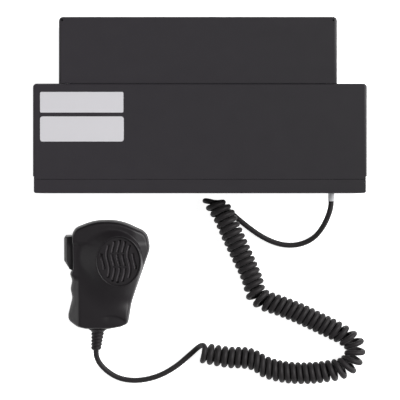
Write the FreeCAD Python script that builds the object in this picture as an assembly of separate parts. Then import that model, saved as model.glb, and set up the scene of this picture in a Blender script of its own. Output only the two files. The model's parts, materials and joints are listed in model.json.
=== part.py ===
import FreeCAD, Part
import math
import os

# Emergency paging microphone: a T-shaped sheet-steel housing with a curly cord and a fist microphone.
# Millimetres. +Z is up, +Y runs from the open front to the rear, and the origin is on the underside,
# at the middle of the housing's depth and of the hood's width. The microphone lies in front of it.

V = FreeCAD.Vector
X_AXIS = V(1, 0, 0)
Y_AXIS = V(0, 1, 0)
Z_AXIS = V(0, 0, 1)

# Housing
SHEET = 0.9            # steel thickness
BEND = 1.0             # inside radius of a bend
COVER_BEND = 1.5       # inside radius of the covers' long bends
BEND_RELIEF = 4.0      # notch where two bends meet
FIT = 0.1              # gap between sheets that slide over each other
HOOD_W = 304.8
HEIGHT = 63.5
DEPTH = 161.2
BAY_D = 100.0          # front panel to the rear edge of the hood
STRIP_D = 12.4         # top strip of the chassis in front of the hood
SEAM = 0.3             # gap between that strip and the hood
NOTCH_D = 2.6          # how far the hood's side flanges stop short of its front edge
HOOD_LIFT = 1.5        # hood's side flanges end this high above the underside
ROLL_R = 3.4           # outside radius of the hood's rolled rear edge
SEAT_W = 8.0           # inward flanges that the covers rest on
BULK_SEAT_GAP = 3.0    # rear seats start this far behind the bulkhead
REAR_W = 254.3
REAR_SHIFT = -1.8      # the rear box sits this far off the middle
REAR_DROP = 3.0        # the rear cover lies this far below the hood
REAR_CORNER = 3.7
COVER_FLANGE = 14.0
RELIEF_R = 0.9         # corner relief holes of the rear cover
RELIEF_INSET = 3.2
BULK_FLANGE = 10.0     # flanges of the bulkhead and of the rear box's front

# Front panel
MOUTH_X0 = -141.0
MOUTH_X1 = 104.0
MOUTH_Z0 = 10.0
MOUTH_Z1 = 54.0
MOUTH_R = 6.0

# Base holes, for screws up to 4 mm
BASE_PITCH_X = 254.0
BASE_PITCH_Y = 63.5
BASE_Y = -30.0
BASE_HOLE_R = 2.25

# Screws
SCREW_R = 1.45
SCREW_HOLE_R = 1.6
CSK_R = 2.9            # countersunk head at the face
PAN_R = 2.8
PAN_H = 1.9
HOOD_SCREW_Y = (-50.0, 12.0)
HOOD_SCREW_Z = 14.0
COVER_SCREW_Y = (36.0, 68.0)
BULK_SCREW_Z = (16.0, 46.0)
SIDE_SCREW_L = 6.0

# Label plates on the hood: inset from its left edge and from its rear edge, width, depth, corner radius
LABEL_T = 0.15
LABELS = {
    "label_upper": (6.7, 7.8, 76.0, 18.8, 1.2),
    "label_lower": (6.7, 30.1, 76.3, 22.9, 2.3),
}

# Microphone hanger on the bay floor
HANG_X = -40.0
HANG_Y = -18.0
HANG_W = 34.0
HANG_L = 30.0
HANG_T = 1.2
HANG_GAP = 5.2         # room below the plate for the stud's head
HANG_FOOT = 11.0
HANG_SLOT = 8.2
RIVET_R = 1.6
RIVET_HEAD_R = 3.0
RIVET_HEAD_H = 1.2

# Cord
CORD_D = 4.7
CORD_SIDES = 6
CORD_R = CORD_D / 2
EXIT_X = 122.6         # where the cord leaves the front panel
EXIT_Z = 20.0
FERRULE_R = 2.8
FERRULE_OUT = 7.6
EXIT_RUN = 4.0          # the cord leaves the ferrule straight
BUSHING_R = 7.5
BUSHING_L = 8.0
LEAD_R = 2.0
# Inner lead: points from the bushing's inner end, from the middle of the grommet and before the terminal block
LEAD_BAY = [(0.0, 13.0, 0.0), (-4.0, 33.0, -6.0)]
LEAD_GROMMET = [(3.0, -34.0, -10.0), (0.0, -14.0, 0.0), (0.0, 13.0, 0.0), (1.0, 22.0, -6.5)]
LEAD_ENTRY = 9.5

# Rear box contents
BOARD_X0 = -100.0
BOARD_X1 = 95.0
BOARD_Y0 = 27.0
BOARD_Y1 = 71.0
BOARD_T = 1.6
STANDOFF_H = 7.1
STANDOFF_R = 3.2
BOARD_HOLE_INSET = 5.0
BOARD_SCREW_L = 6.0
GROMMET_X = 105.5
GROMMET_Z = 26.0
GROMMET_R = 5.0
TERMINAL = (10.0, 24.0, 12.0)
TERMINAL_Y = 37.0
TRANSFORMER = (30.0, 26.0, 22.0)
TRANSFORMER_X = -40.0
TRANSFORMER_Y = 36.0
CAP_R = 5.0
CAP_H = 16.0
CAP_X = (8.0, 22.0, 36.0)
CAP_Y = 58.0
PLUG_X0 = -80.0
PLUG_W = 40.0
PLUG_D = 18.0
PLUG_H = 12.0
PLUG_RECESS = 6.0
PLUG_FIT = 0.3
PLUG_PIN_Z = 3.2       # pins above the connector's underside
EARTH_X = 109.0
EARTH_Y = 64.0
EARTH_R = 2.0
EARTH_H = 12.0

# Microphone, drawn lying flat with its back at z = 0 and then leaned on its hang-up stud.
# Corners of the outline at the parting line, counterclockwise from the top left: x, y, radius.
MIC_FOOT_Y = -207.2
MIC_OUTLINE = [
    (-119.2, -112.6, 8.0),
    (-118.4, -150.5, 4.0),
    (-121.2, -155.0, 3.0),
    (-119.3, -161.9, 8.0),
    (-120.9, -169.7, 9.0),
    (-119.2, -178.1, 10.0),
    (-123.1, -193.5, 10.0),
    (-123.3, -199.5, 6.0),
    (-115.0, -205.2, 14.0),
    (-106.5, MIC_FOOT_Y, 14.0),
    (-84.5, MIC_FOOT_Y, 14.0),
    (-74.0, -205.3, 12.0),
    (-67.0, -202.4, 5.0),
    (-64.6, -183.0, 60.0),
    (-60.4, -167.4, 100.0),
    (-47.6, -130.6, 14.0),
    (-49.3, -115.0, 9.5),
    (-74.0, -104.6, 50.0),
    (-98.0, -104.6, 50.0),
]
PART_Z = 15.0          # parting line of the two shells
MIC_FRONT_Z = 28.4
MIC_WALL = 2.2
# Height and inset of the outline at each level of the shells
FRONT_LEVELS = [(PART_Z, 0.0), (22.0, 0.9), (26.4, 3.0), (MIC_FRONT_Z, 6.0)]
BACK_LEVELS = [(0.0, 5.0), (2.0, 2.2), (7.0, 0.9), (PART_Z, 0.0)]
# Raised head round the grille
HEAD_X = -75.2
HEAD_Y = -142.0
HEAD_TOP_Z = 33.9
RIM_A = 21.0
RIM_B = 23.7
HEAD_FOOT_Z = 23.5
HEAD_FOOT_SHIFT = -9.5
HEAD_FOOT_A = 32.2
HEAD_FOOT_B = 32.4
# Grille
GRILLE_T = 1.8
RIM_W = 1.2
RIM_H = 0.7            # rim above the grille
GRILLE_FIT = 0.1
SLOTS = 7
SLOT_PITCH = 4.85
SLOT_W = 2.5
SLOT_MARGIN = 2.2      # plate left between a slot and the rim
WAVE = 1.2             # sideways swing of a slot
WAVE_L = 27.0          # length of one full wave
BRIDGE_Y = (7.5, -5.0)
BRIDGE_W = 1.6
FOAM_T = 2.0
LEDGE = 2.8            # ledge under the grille's edge
SEAT_T = 3.3
CAPSULE_R = 9.0
CAPSULE_H = 8.0
# Talk bar on the left side, with its pin at the lower end
BAR_TOP = -119.9
BAR_FOOT = -152.1
BAR_OUT = -126.5
BAR_Z0 = 8.0
BAR_Z1 = 22.0
BAR_FIT = 0.4
BAR_TOP_FIT = 0.8      # more room at the top, where the pressed bar's outer corner rises
BAR_INNER = -113.9     # face that pushes the plunger
BAR_LIP = 2.0          # lip behind the wall, above the bar's top
LIP_SETBACK = 1.6      # from the wall's inner face at the parting line
PIN_X = -114.9
PIN_Y = -148.6
PIN_R = 1.2
PIN_FIT = 0.05
PIN_END = 3.6
BAR_TRAVEL = 4.0       # degrees
PLUNGER_Y = -131.0
PLUNGER_R = 1.5
PLUNGER_FIT = 0.05
PLUNGER_GAP = 0.3
PLUNGER_OUT = 2.4
SWITCH = (9.0, 16.0, 12.0)
# Inside the microphone
MIC_BOARD_X0 = -114.0
MIC_BOARD_X1 = -70.0
MIC_BOARD_Y0 = -186.0
MIC_BOARD_Y1 = -122.0
MIC_BOARD_Z = 5.6
MIC_POST_R = 2.6
SHELL_SCREWS = [(-108.5, -116.5), (-57.5, -118.0), (-112.8, -195.2), (-76.0, -196.0)]
SHELL_BOSS_R = 3.4
SHELL_SCREW_R = 1.3
SHELL_HEAD_R = 2.6
SHELL_HEAD_H = 1.8
STUD_X = -88.0
STUD_Y = -139.0
STUD_H = 6.0
STUD_HEAD_R = 6.5
STUD_HEAD_T = 2.0
STUD_NECK_R = 3.5
# Cord boot at the lower end
BOOT_X = -95.4
BOOT_Z = 14.0
BOOT_LEAN = 5.5        # degrees toward the left
BOOT_L = 20.8
COLLAR_R = 9.0
COLLAR_L = 1.6         # collar outside the end wall
COLLAR_IN = 0.9        # and let into it
BOOT_R0 = 4.5
BOOT_R1 = 3.4
BOOT_RIBS = 5
RIB_UP = 1.0
BOOT_NECK_R = 4.4
BOOT_FLANGE_R = 6.4
MIC_SHIFT_Y = 2.1

# Routes. The tail to the housing starts at the ferrule, and the tail to the microphone at the boot's end.
COIL_START = (21.3, -93.0, CORD_R)
COIL_END = (-10.0, -231.8, CORD_R)
TAIL_HOUSING = [
    (EXIT_X, -DEPTH / 2 - FERRULE_OUT, EXIT_Z),
    (EXIT_X, -DEPTH / 2 - FERRULE_OUT - EXIT_RUN, EXIT_Z),
    (120.6, -100.2, 20.0),
    (115.5, -112.6, 12.3),
    (106.7, -123.8, 4.6),
    (92.5, -129.8, CORD_R),
    (75.6, -129.3, CORD_R),
    (58.4, -121.9, CORD_R),
    (42.6, -110.4, CORD_R),
    (28.8, -98.6, CORD_R),
    COIL_START,
]
TAIL_MIC = [
    (-98.1, -234.2, 9.6),
    (-91.4, -245.3, 4.2),
    (-77.8, -255.1, CORD_R),
    (-60.5, -257.8, CORD_R),
    (-40.8, -254.2, CORD_R),
    (-23.5, -245.0, CORD_R),
    COIL_END,
]
# Middle line of the coil: x, y, height above the coil's own resting height, coil radius
COIL_AXIS = [
    (16.3, -89.9, 5.2, 7.4),
    (24.5, -107.0, 5.2, 7.3),
    (34.0, -129.0, 1.2, 7.2),
    (42.5, -149.0, 0.0, 7.2),
    (49.0, -166.0, 0.0, 7.1),
    (60.0, -181.0, 0.0, 6.9),
    (77.0, -188.5, 0.0, 6.7),
    (100.0, -198.5, 0.0, 6.7),
    (123.0, -209.0, 0.0, 6.7),
    (142.7, -218.9, 0.0, 6.7),
    (146.8, -230.4, 0.0, 6.7),
    (141.9, -241.5, 0.0, 6.7),
    (119.0, -250.6, 0.0, 6.8),
    (98.0, -251.6, 0.0, 6.9),
    (77.0, -250.0, 0.0, 6.9),
    (58.5, -244.2, 0.0, 6.9),
    (42.5, -238.0, 0.0, 6.9),
    (24.0, -235.2, 0.0, 6.9),
    (6.5, -231.3, 0.0, 6.9),
]
COIL_PITCH = 5.65
COIL_GAP = 0.66        # least gap that the pitch leaves on the inside of a bend
COIL_SMOOTH = 5.0      # reach to each side over which a bend's curvature is evened out
COIL_FIRST = 1.308     # turns at the start, counted from the bottom of a turn
COIL_LAST = 0.53       # turns left off at the end
LEAN_END = 26.0        # degrees that the last turns lean
LEAN_LENGTH = 80.0
# Leads from the coil's ends: point and direction of travel
LEAD_IN = [
    ((5.51, -86.66, 7.48), (-0.162, 0.286, 0.944)),
    ((12.59, -84.49, 13.55), (0.973, -0.021, -0.230)),
]
LEAD_OUT = [
    ((4.45, -223.14, 10.97), (-0.615, 0.133, -0.778)),
    ((-4.45, -226.60, 2.90), (-0.821, -0.522, -0.233)),
]

FRONT_Y = -DEPTH / 2
REAR_Y = DEPTH / 2
BAY_REAR = FRONT_Y + BAY_D
HOOD_HALF = HOOD_W / 2
CHASSIS_HALF = HOOD_HALF - SHEET - FIT
HOOD_FRONT = FRONT_Y + STRIP_D + SEAM
REAR_TOP = HEIGHT - REAR_DROP
COVER_HALF = REAR_W / 2
BOX_HALF = COVER_HALF - SHEET - FIT
BULK_REAR = BAY_REAR - SHEET - FIT
CHASSIS_REAR = BULK_REAR
BOX_REAR = REAR_Y - SHEET - FIT
BOARD_Z = SHEET + STANDOFF_H
GRILLE_TOP = HEAD_TOP_Z - RIM_H
GRILLE_A = RIM_A - RIM_W
GRILLE_B = RIM_B - RIM_W
GRILLE_LOW = GRILLE_TOP - GRILLE_T
FOAM_LOW = GRILLE_LOW - FOAM_T
SEAT_LOW = FOAM_LOW - SEAT_T
CAVITY_A = GRILLE_A - LEDGE
CAVITY_B = GRILLE_B - LEDGE
# The microphone leans on the lower edge of its back and on the lower edge of its stud
LEAN_Y = MIC_FOOT_Y + BACK_LEVELS[0][1]
TILT = math.degrees(math.atan2(STUD_H, STUD_Y - STUD_HEAD_R - LEAN_Y))


def box(x0, x1, y0, y1, z0, z1):
    return Part.makeBox(x1 - x0, y1 - y0, z1 - z0, V(x0, y0, z0))


def cyl(base, radius, length, axis=Z_AXIS):
    return Part.makeCylinder(radius, length, base, axis)


def fuse(shapes):
    whole = shapes[0].fuse(shapes[1:]) if len(shapes) > 1 else shapes[0]
    return whole.removeSplitter()


def fillet_where(shape, radius, test):
    """Round the straight edges whose middle point and direction pass the test."""
    edges = []
    for edge in shape.Edges:
        a, b = edge.Vertexes[0].Point, edge.Vertexes[-1].Point
        along = b - a
        if along.Length > 1e-6 and near(edge.Length, along.Length) and test((a + b) * 0.5, along.normalize()):
            edges.append(edge)
    return shape.makeFillet(radius, edges)


def near(a, b):
    return abs(a - b) < 1e-4


def csk_screw(face, axis, length):
    """Countersunk screw whose head lies flush in a sheet; axis points into the work."""
    cone = Part.makeCone(CSK_R, SCREW_R, SHEET, face, axis)
    return fuse([cone, cyl(face + axis * SHEET, SCREW_R, length - SHEET, axis)])


def csk_hole(face, axis):
    grow = SCREW_HOLE_R - SCREW_R
    return Part.makeCone(CSK_R + grow, SCREW_HOLE_R, SHEET, face, axis)


def pan_screw(face, axis, length, shank=SCREW_R):
    """Pan-head screw seated on a face; axis points into the work."""
    head = Part.makeCone(PAN_R * 0.8, PAN_R, PAN_H, face - axis * PAN_H, axis)
    return fuse([head, cyl(face, shank, length, axis)])


def hexagon(at, radius, length, axis=Z_AXIS):
    """Hexagonal bar from a point along +Z or +Y."""
    along_y = near(axis.y, 1)
    ring = []
    for k in range(6):
        a, b = radius * math.cos(k * math.pi / 3), radius * math.sin(k * math.pi / 3)
        ring.append(at + (V(a, 0, b) if along_y else V(a, b, 0)))
    return Part.Face(Part.makePolygon(ring + [ring[0]])).extrude(axis * length)


def rounded_slab(x0, x1, y0, y1, z0, z1, radius):
    slab = box(x0, x1, y0, y1, z0, z1)
    return fillet_where(slab, radius, lambda m, t: near(abs(t.z), 1))


def side_points(y_values, z, half, shift=0.0):
    """Points on both side faces of a housing, with the direction into it."""
    points = []
    for y in y_values:
        for side in (-1, 1):
            points.append((V(shift + side * half, y, z), V(-side, 0, 0)))
    return points


def hood_screw_points():
    return side_points(HOOD_SCREW_Y, HOOD_SCREW_Z, HOOD_HALF)


def cover_screw_points():
    z = REAR_TOP - COVER_FLANGE / 2
    return side_points(COVER_SCREW_Y, z, COVER_HALF, REAR_SHIFT)


def bulk_screw_points():
    points = []
    for side in (-1, 1):
        for z in BULK_SCREW_Z:
            x = REAR_SHIFT + side * (BOX_HALF - BULK_FLANGE / 2)
            points.append(V(x, BULK_REAR - SHEET, z))
    return points


def base_hole_points():
    return [
        V(sx * BASE_PITCH_X / 2, BASE_Y + sy * BASE_PITCH_Y / 2, 0)
        for sx in (-1, 1)
        for sy in (-1, 1)
    ]


def board_hole_points():
    return [
        V(x, y, 0)
        for x in (BOARD_X0 + BOARD_HOLE_INSET, BOARD_X1 - BOARD_HOLE_INSET)
        for y in (BOARD_Y0 + BOARD_HOLE_INSET, BOARD_Y1 - BOARD_HOLE_INSET)
    ]


def rivet_points():
    reach = HANG_W / 2 + HANG_FOOT / 2
    return [V(HANG_X + side * reach, HANG_Y, SHEET) for side in (-1, 1)]


def folded_box(half, y0, y1, z0, z1, corner, shift=0.0, front=False, rear=False):
    """A box of sheet steel with bent edges, as (outer, inner) solids.

    The lower edges along Y, and the front and rear edges asked for, are bent.
    """
    def block(inset, bend, side):
        b = box(shift - half + inset, shift + half - inset, y0 + inset, y1 - inset, z0 + inset, z1 - inset)

        def corners(m, t):
            at_end = (near(m.y, y0 + inset) and front) or (near(m.y, y1 - inset) and rear)
            return near(abs(t.z), 1) and at_end

        b = fillet_where(b, side, corners) if front or rear else b
        lows = [
            e for e in b.Edges
            if near(e.BoundBox.ZMin, z0 + inset) and near(e.BoundBox.ZMax, z0 + inset)
            and not (near(e.BoundBox.YMax, y0 + inset) and not front)
            and not (near(e.BoundBox.YMin, y1 - inset) and not rear)
        ]
        return b.makeFillet(bend, lows)

    outer = block(0.0, BEND + SHEET, corner)
    inner = block(SHEET, BEND, corner - SHEET)
    return outer, inner


def wall_top(side, half, y0, y1, top, shift=0.0):
    """Space to clear above a side wall where nothing rests on it, so that the cover's bend has room."""
    x0, x1 = sorted((shift + side * (half - SHEET - BEND), shift + side * (half + 1)))
    return box(x0, x1, y0, y1, top - 2 * SHEET - COVER_BEND, top + 1)


def add_seats(shell, half, y0, y1, top, shift=0.0):
    """Bend the tops of both side walls inward, as seats for a cover."""
    low = top - SHEET - COVER_BEND - BEND

    def block(x0, x1, z0, z1, radius):
        return fillet_where(box(x0, x1, y0, y1, z0, z1), radius, lambda m, t: near(m.x, x1) and near(m.z, z1))

    outer = block(half - SEAT_W, half, low, top, COVER_BEND + SHEET)
    inner = block(half - SEAT_W - 1, half - SHEET, low - 1, top - SHEET, COVER_BEND)
    seat = outer.cut(inner)
    for side in (-1, 1):
        x0, x1 = sorted((shift + side * (half - SEAT_W), shift + side * (half + 1)))
        shell = shell.cut(box(x0, x1, y0, y1, low, top + 1))
        piece = seat if side > 0 else seat.mirror(V(0, 0, 0), X_AXIS)
        piece.translate(V(shift, 0, 0))
        shell = shell.fuse(piece)
    return shell.removeSplitter()


def make_chassis():
    rear = CHASSIS_REAR + SHEET
    outer, inner = folded_box(CHASSIS_HALF, FRONT_Y, rear, 0, HEIGHT, BEND + SHEET, front=True)
    shell = outer.cut(inner)
    far = HOOD_W
    open_rear = box(-far, far, CHASSIS_REAR, far, -1, HEIGHT + 1)
    open_top = box(-far, far, FRONT_Y + STRIP_D, far, HEIGHT - SHEET, HEIGHT + 1)
    shell = shell.cut(open_rear).cut(open_top)
    seat_y = BULK_REAR - BULK_FLANGE - SHEET
    for side in (-1, 1):
        shell = shell.cut(wall_top(side, CHASSIS_HALF, seat_y, CHASSIS_REAR + 1, HEIGHT))
        x0, x1 = sorted((side * (CHASSIS_HALF - SHEET - BEND), side * HOOD_HALF))
        shell = shell.cut(box(x0, x1, BAY_REAR - ROLL_R, CHASSIS_REAR + 1, HOOD_LIFT, HEIGHT))
    shell = add_seats(shell, CHASSIS_HALF, HOOD_FRONT, seat_y, HEIGHT - SHEET)
    mouth = box(MOUTH_X0, MOUTH_X1, FRONT_Y - 1, FRONT_Y + SHEET + 1, MOUTH_Z0, MOUTH_Z1)
    mouth = fillet_where(mouth, MOUTH_R, lambda m, t: near(abs(t.y), 1))
    shell = shell.cut(mouth)
    holes = [cyl(p - Z_AXIS, BASE_HOLE_R, SHEET + 2) for p in base_hole_points()]
    holes += [cyl(p - Z_AXIS * (SHEET + 1), RIVET_R, SHEET + 2) for p in rivet_points()]
    holes += [cyl(p, SCREW_HOLE_R, 4 * SHEET, a) for p, a in hood_screw_points()]
    holes.append(cyl(V(EXIT_X, FRONT_Y - 1, EXIT_Z), FERRULE_R + FIT / 2, SHEET + 2, Y_AXIS))
    return shell.cut(holes)


def make_hood():
    def block(inset, roll, bend):
        half = HOOD_HALF - inset
        b = box(-half, half, HOOD_FRONT, BAY_REAR - inset, HOOD_LIFT, HEIGHT - inset)
        b = fillet_where(b, roll, lambda m, t: near(abs(t.z), 1) and near(m.y, BAY_REAR - inset))
        top = HEIGHT - inset
        rims = [e for e in b.Edges if near(e.BoundBox.ZMin, top) and e.BoundBox.YMax > HOOD_FRONT + 1]
        return b.makeFillet(bend, rims)

    shell = block(0.0, ROLL_R, COVER_BEND + SHEET).cut(block(SHEET, ROLL_R - SHEET, COVER_BEND))
    far = HOOD_W
    shell = shell.cut(box(-far, far, HOOD_FRONT - 1, BAY_REAR - 2 * ROLL_R, HOOD_LIFT - 1, HOOD_LIFT))
    for side in (-1, 1):
        x0, x1 = sorted((side * CHASSIS_HALF, side * (HOOD_HALF + 1)))
        shell = shell.cut(box(x0, x1, HOOD_FRONT - 1, HOOD_FRONT + NOTCH_D, HOOD_LIFT - 1, HEIGHT + 1))
    window = box(
        REAR_SHIFT - COVER_HALF - SEAM, REAR_SHIFT + COVER_HALF + SEAM,
        BAY_REAR - 2 * ROLL_R, BAY_REAR + 1, HOOD_LIFT - 1, REAR_TOP + SEAM,
    )
    shell = shell.cut(window)
    return shell.cut([csk_hole(p, a) for p, a in hood_screw_points()])


def make_bulkhead():
    """Wall between bay and rear box, flanged toward the bay on all four sides."""
    half, top = CHASSIS_HALF - SHEET, HEIGHT - SHEET
    front = BULK_REAR - BULK_FLANGE
    bend = ROLL_R - SHEET

    def block(inset):
        b = box(-half + inset, half - inset, front - inset, BULK_REAR - inset, SHEET + inset, top - inset)
        b = fillet_where(b, bend - inset, lambda m, t: near(abs(t.z), 1) and near(m.y, BULK_REAR - inset))
        rims = [
            e for e in b.Edges
            if near(e.BoundBox.ZMin, e.BoundBox.ZMax) and e.BoundBox.YMax > front + 1
        ]
        return b.makeFillet(bend - inset, rims)

    plate = block(0.0).cut(block(SHEET))
    corners = []
    for side in (-1, 1):
        x0, x1 = sorted((side * (half - BEND_RELIEF), side * (half + 1)))
        for z0, z1 in ((0, SHEET + BEND_RELIEF), (top - BEND_RELIEF, top + 1)):
            corners.append(box(x0, x1, front - 1, BULK_REAR - SHEET - BEND, z0, z1))
    holes = [cyl(p - Y_AXIS, SCREW_HOLE_R, SHEET + 2, Y_AXIS) for p in bulk_screw_points()]
    holes += [cyl(p, SCREW_HOLE_R, 6 * SHEET, a) for p, a in hood_screw_points()]
    holes.append(cyl(V(GROMMET_X, BULK_REAR - SHEET - 1, GROMMET_Z), GROMMET_R, SHEET + 2, Y_AXIS))
    return plate.cut(corners + holes)


def make_rear_box():
    outer, inner = folded_box(
        BOX_HALF, BULK_REAR, BOX_REAR, 0, REAR_TOP + SHEET, REAR_CORNER - SHEET - FIT, REAR_SHIFT, rear=True,
    )
    shell = outer.cut(inner)
    far = HOOD_W
    top = REAR_TOP - SHEET
    shell = shell.cut(box(-far, far, 0, far, top, HEIGHT))
    reach = BOX_HALF - BULK_FLANGE
    x0, x1 = REAR_SHIFT - reach, REAR_SHIFT + reach
    shell = shell.cut(box(x0, x1, BULK_REAR - 1, BULK_REAR + SHEET + 1, SHEET, top + 1))
    seat_y0, seat_y1 = BULK_REAR + BULK_SEAT_GAP, BOX_REAR - REAR_CORNER
    for side in (-1, 1):
        for y0, y1 in ((BULK_REAR - 1, seat_y0), (seat_y1, BOX_REAR + 1)):
            shell = shell.cut(wall_top(side, BOX_HALF, y0, y1, REAR_TOP, REAR_SHIFT))
    low = REAR_TOP - 2 * SHEET - COVER_BEND
    shell = shell.cut(box(-far, far, seat_y1, BOX_REAR + 1, low, HEIGHT))
    shell = add_seats(shell, BOX_HALF, seat_y0, seat_y1, top, REAR_SHIFT)
    z0 = BOARD_Z + BOARD_T
    x0, x1 = PLUG_X0 - PLUG_FIT, PLUG_X0 + PLUG_W + PLUG_FIT
    cuts = [box(x0, x1, BOX_REAR - SHEET - 1, REAR_Y, z0 - PLUG_FIT, z0 + PLUG_H + PLUG_FIT)]
    cuts += [cyl(p, SCREW_HOLE_R, 4 * SHEET, a) for p, a in cover_screw_points()]
    for p in bulk_screw_points():
        cuts.append(cyl(p, SCREW_HOLE_R, 4 * SHEET, Y_AXIS))
    return shell.cut(cuts)


def make_rear_cover():
    z0 = REAR_TOP - COVER_FLANGE
    front = BAY_REAR + SEAM

    def block(inset, corner, bend):
        b = box(
            REAR_SHIFT - COVER_HALF + inset, REAR_SHIFT + COVER_HALF - inset,
            front, REAR_Y - inset, z0 - inset, REAR_TOP - inset,
        )
        b = fillet_where(b, corner, lambda m, t: near(abs(t.z), 1) and near(m.y, REAR_Y - inset))
        tops = [e for e in b.Edges if near(e.BoundBox.ZMin, REAR_TOP - inset) and e.BoundBox.YMax > front + 1]
        return b.makeFillet(bend, tops)

    cover = block(0.0, REAR_CORNER, COVER_BEND + SHEET).cut(block(SHEET, REAR_CORNER - SHEET, COVER_BEND))
    cuts = [csk_hole(p, a) for p, a in cover_screw_points()]
    for side in (-1, 1):
        x = REAR_SHIFT + side * (COVER_HALF - RELIEF_INSET)
        cuts.append(cyl(V(x, REAR_Y - RELIEF_INSET, REAR_TOP - 2 * SHEET), RELIEF_R, 3 * SHEET))
    return cover.cut(cuts)


def make_label(spec):
    inset_x, inset_y, width, depth, radius = spec
    x0, y1 = inset_x - HOOD_HALF, BAY_REAR - inset_y
    return rounded_slab(x0, x0 + width, y1 - depth, y1, HEIGHT, HEIGHT + LABEL_T, radius)


def make_hanger():
    """Raised plate with a slot that opens to the front, on two legs with riveted feet."""
    low = SHEET
    under = low + HANG_GAP
    top = under + HANG_T
    x0, x1 = HANG_X - HANG_W / 2, HANG_X + HANG_W / 2
    y0, y1 = HANG_Y - HANG_L / 2, HANG_Y + HANG_L / 2
    parts = [box(x0, x1, y0, y1, under, top)]
    for side in (-1, 1):
        leg = sorted((HANG_X + side * HANG_W / 2, HANG_X + side * (HANG_W / 2 - HANG_T)))
        foot = sorted((HANG_X + side * (HANG_W / 2 - HANG_T), HANG_X + side * (HANG_W / 2 + HANG_FOOT)))
        parts.append(box(leg[0], leg[1], y0, y1, low, top))
        parts.append(box(foot[0], foot[1], y0, y1, low, low + HANG_T))
    body = fuse(parts)
    body = fillet_where(body, 1.5, lambda m, t: near(abs(t.y), 1) and near(m.z, top))
    body = fillet_where(body, 3.0, lambda m, t: near(abs(t.z), 1) and abs(m.x - HANG_X) > HANG_W / 2 + 2)
    slot = fuse([
        box(HANG_X - HANG_SLOT / 2, HANG_X + HANG_SLOT / 2, y0 - 1, HANG_Y + 2, under - 1, top + 1),
        cyl(V(HANG_X, HANG_Y + 2, under - 1), HANG_SLOT / 2, HANG_T + 2),
    ])
    return body.cut([slot] + [cyl(p, RIVET_R, HANG_T + 1) for p in rivet_points()])


def make_rivets():
    rivets = []
    for p in rivet_points():
        seat = p + Z_AXIS * HANG_T
        head = Part.makeCone(RIVET_HEAD_R, RIVET_HEAD_R * 0.6, RIVET_HEAD_H, seat)
        rivets.append(fuse([head, cyl(V(p.x, p.y, 0), RIVET_R, SHEET + HANG_T)]))
    return Part.makeCompound(rivets)


def make_bushing():
    """Hexagonal bushing behind the front panel that holds the ferrule."""
    y0 = FRONT_Y + SHEET
    body = hexagon(V(EXIT_X, y0, EXIT_Z), BUSHING_R, BUSHING_L, Y_AXIS)
    return body.cut(cyl(V(EXIT_X, y0 - 1, EXIT_Z), FERRULE_R, BUSHING_L + 2, Y_AXIS))


def make_ferrule():
    body = cyl(V(EXIT_X, FRONT_Y - FERRULE_OUT, EXIT_Z), FERRULE_R, FERRULE_OUT + SHEET + BUSHING_L, Y_AXIS)
    return body.makeChamfer(0.35, [e for e in body.Edges if near(e.BoundBox.YMax, FRONT_Y - FERRULE_OUT)])


def make_grommet():
    y = BULK_REAR - SHEET
    centre = V(GROMMET_X, 0, GROMMET_Z)
    flange = GROMMET_R + 1.6
    body = fuse([
        cyl(centre + Y_AXIS * (y - 1.6), flange, 1.6, Y_AXIS),
        cyl(centre + Y_AXIS * (y - 0.1), GROMMET_R, SHEET + 0.2, Y_AXIS),
        cyl(centre + Y_AXIS * BULK_REAR, flange, 1.6, Y_AXIS),
    ])
    return body.cut(cyl(centre + Y_AXIS * (y - 3), LEAD_R, SHEET + 6, Y_AXIS))


def make_board():
    z = BOARD_Z
    board = rounded_slab(BOARD_X0, BOARD_X1, BOARD_Y0, BOARD_Y1, z, z + BOARD_T, 2.0)
    return board.cut([cyl(p + Z_AXIS * (z - 1), SCREW_HOLE_R, BOARD_T + 2) for p in board_hole_points()])


def make_standoffs():
    posts = []
    for p in board_hole_points():
        post = hexagon(V(p.x, p.y, SHEET), STANDOFF_R, STANDOFF_H)
        posts.append(post.cut(cyl(V(p.x, p.y, SHEET + 1), SCREW_R, STANDOFF_H)))
    return Part.makeCompound(posts)


def make_board_screws():
    z = BOARD_Z + BOARD_T
    return Part.makeCompound([pan_screw(p + Z_AXIS * z, -Z_AXIS, BOARD_SCREW_L) for p in board_hole_points()])


def make_terminal_block():
    dx, dy, dz = TERMINAL
    z = BOARD_Z + BOARD_T
    x0 = BOARD_X1 - dx
    block = box(x0, BOARD_X1, TERMINAL_Y, TERMINAL_Y + dy, z, z + dz)
    step_x, step_z = x0 + dx * 0.45, z + dz * 0.7
    block = block.cut(box(x0 - 1, step_x, TERMINAL_Y - 1, TERMINAL_Y + dy + 1, step_z, z + dz + 1))
    wells = []
    poles = 5
    for k in range(poles):
        y = TERMINAL_Y + dy * (k + 0.5) / poles
        wells.append(cyl(V(BOARD_X1 - dx * 0.28, y, z + dz * 0.6), 1.7, dz))
    return block.cut(wells)


def make_transformer():
    dx, dy, dz = TRANSFORMER
    z = BOARD_Z + BOARD_T
    x0, y0 = TRANSFORMER_X, TRANSFORMER_Y
    core = box(x0, x0 + dx, y0 + 5, y0 + dy - 5, z, z + dz)
    bobbin = box(x0 + 5, x0 + dx - 5, y0, y0 + dy, z + 3, z + dz - 3)
    bobbin = fillet_where(bobbin, 3.0, lambda m, t: near(abs(t.x), 1))
    return fuse([core, bobbin])


def make_capacitors():
    z = BOARD_Z + BOARD_T
    cans = []
    for x in CAP_X:
        can = cyl(V(x, CAP_Y, z), CAP_R, CAP_H)
        cans.append(can.makeChamfer(0.6, [e for e in can.Edges if near(e.BoundBox.ZMin, z + CAP_H)]))
    return Part.makeCompound(cans)


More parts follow.
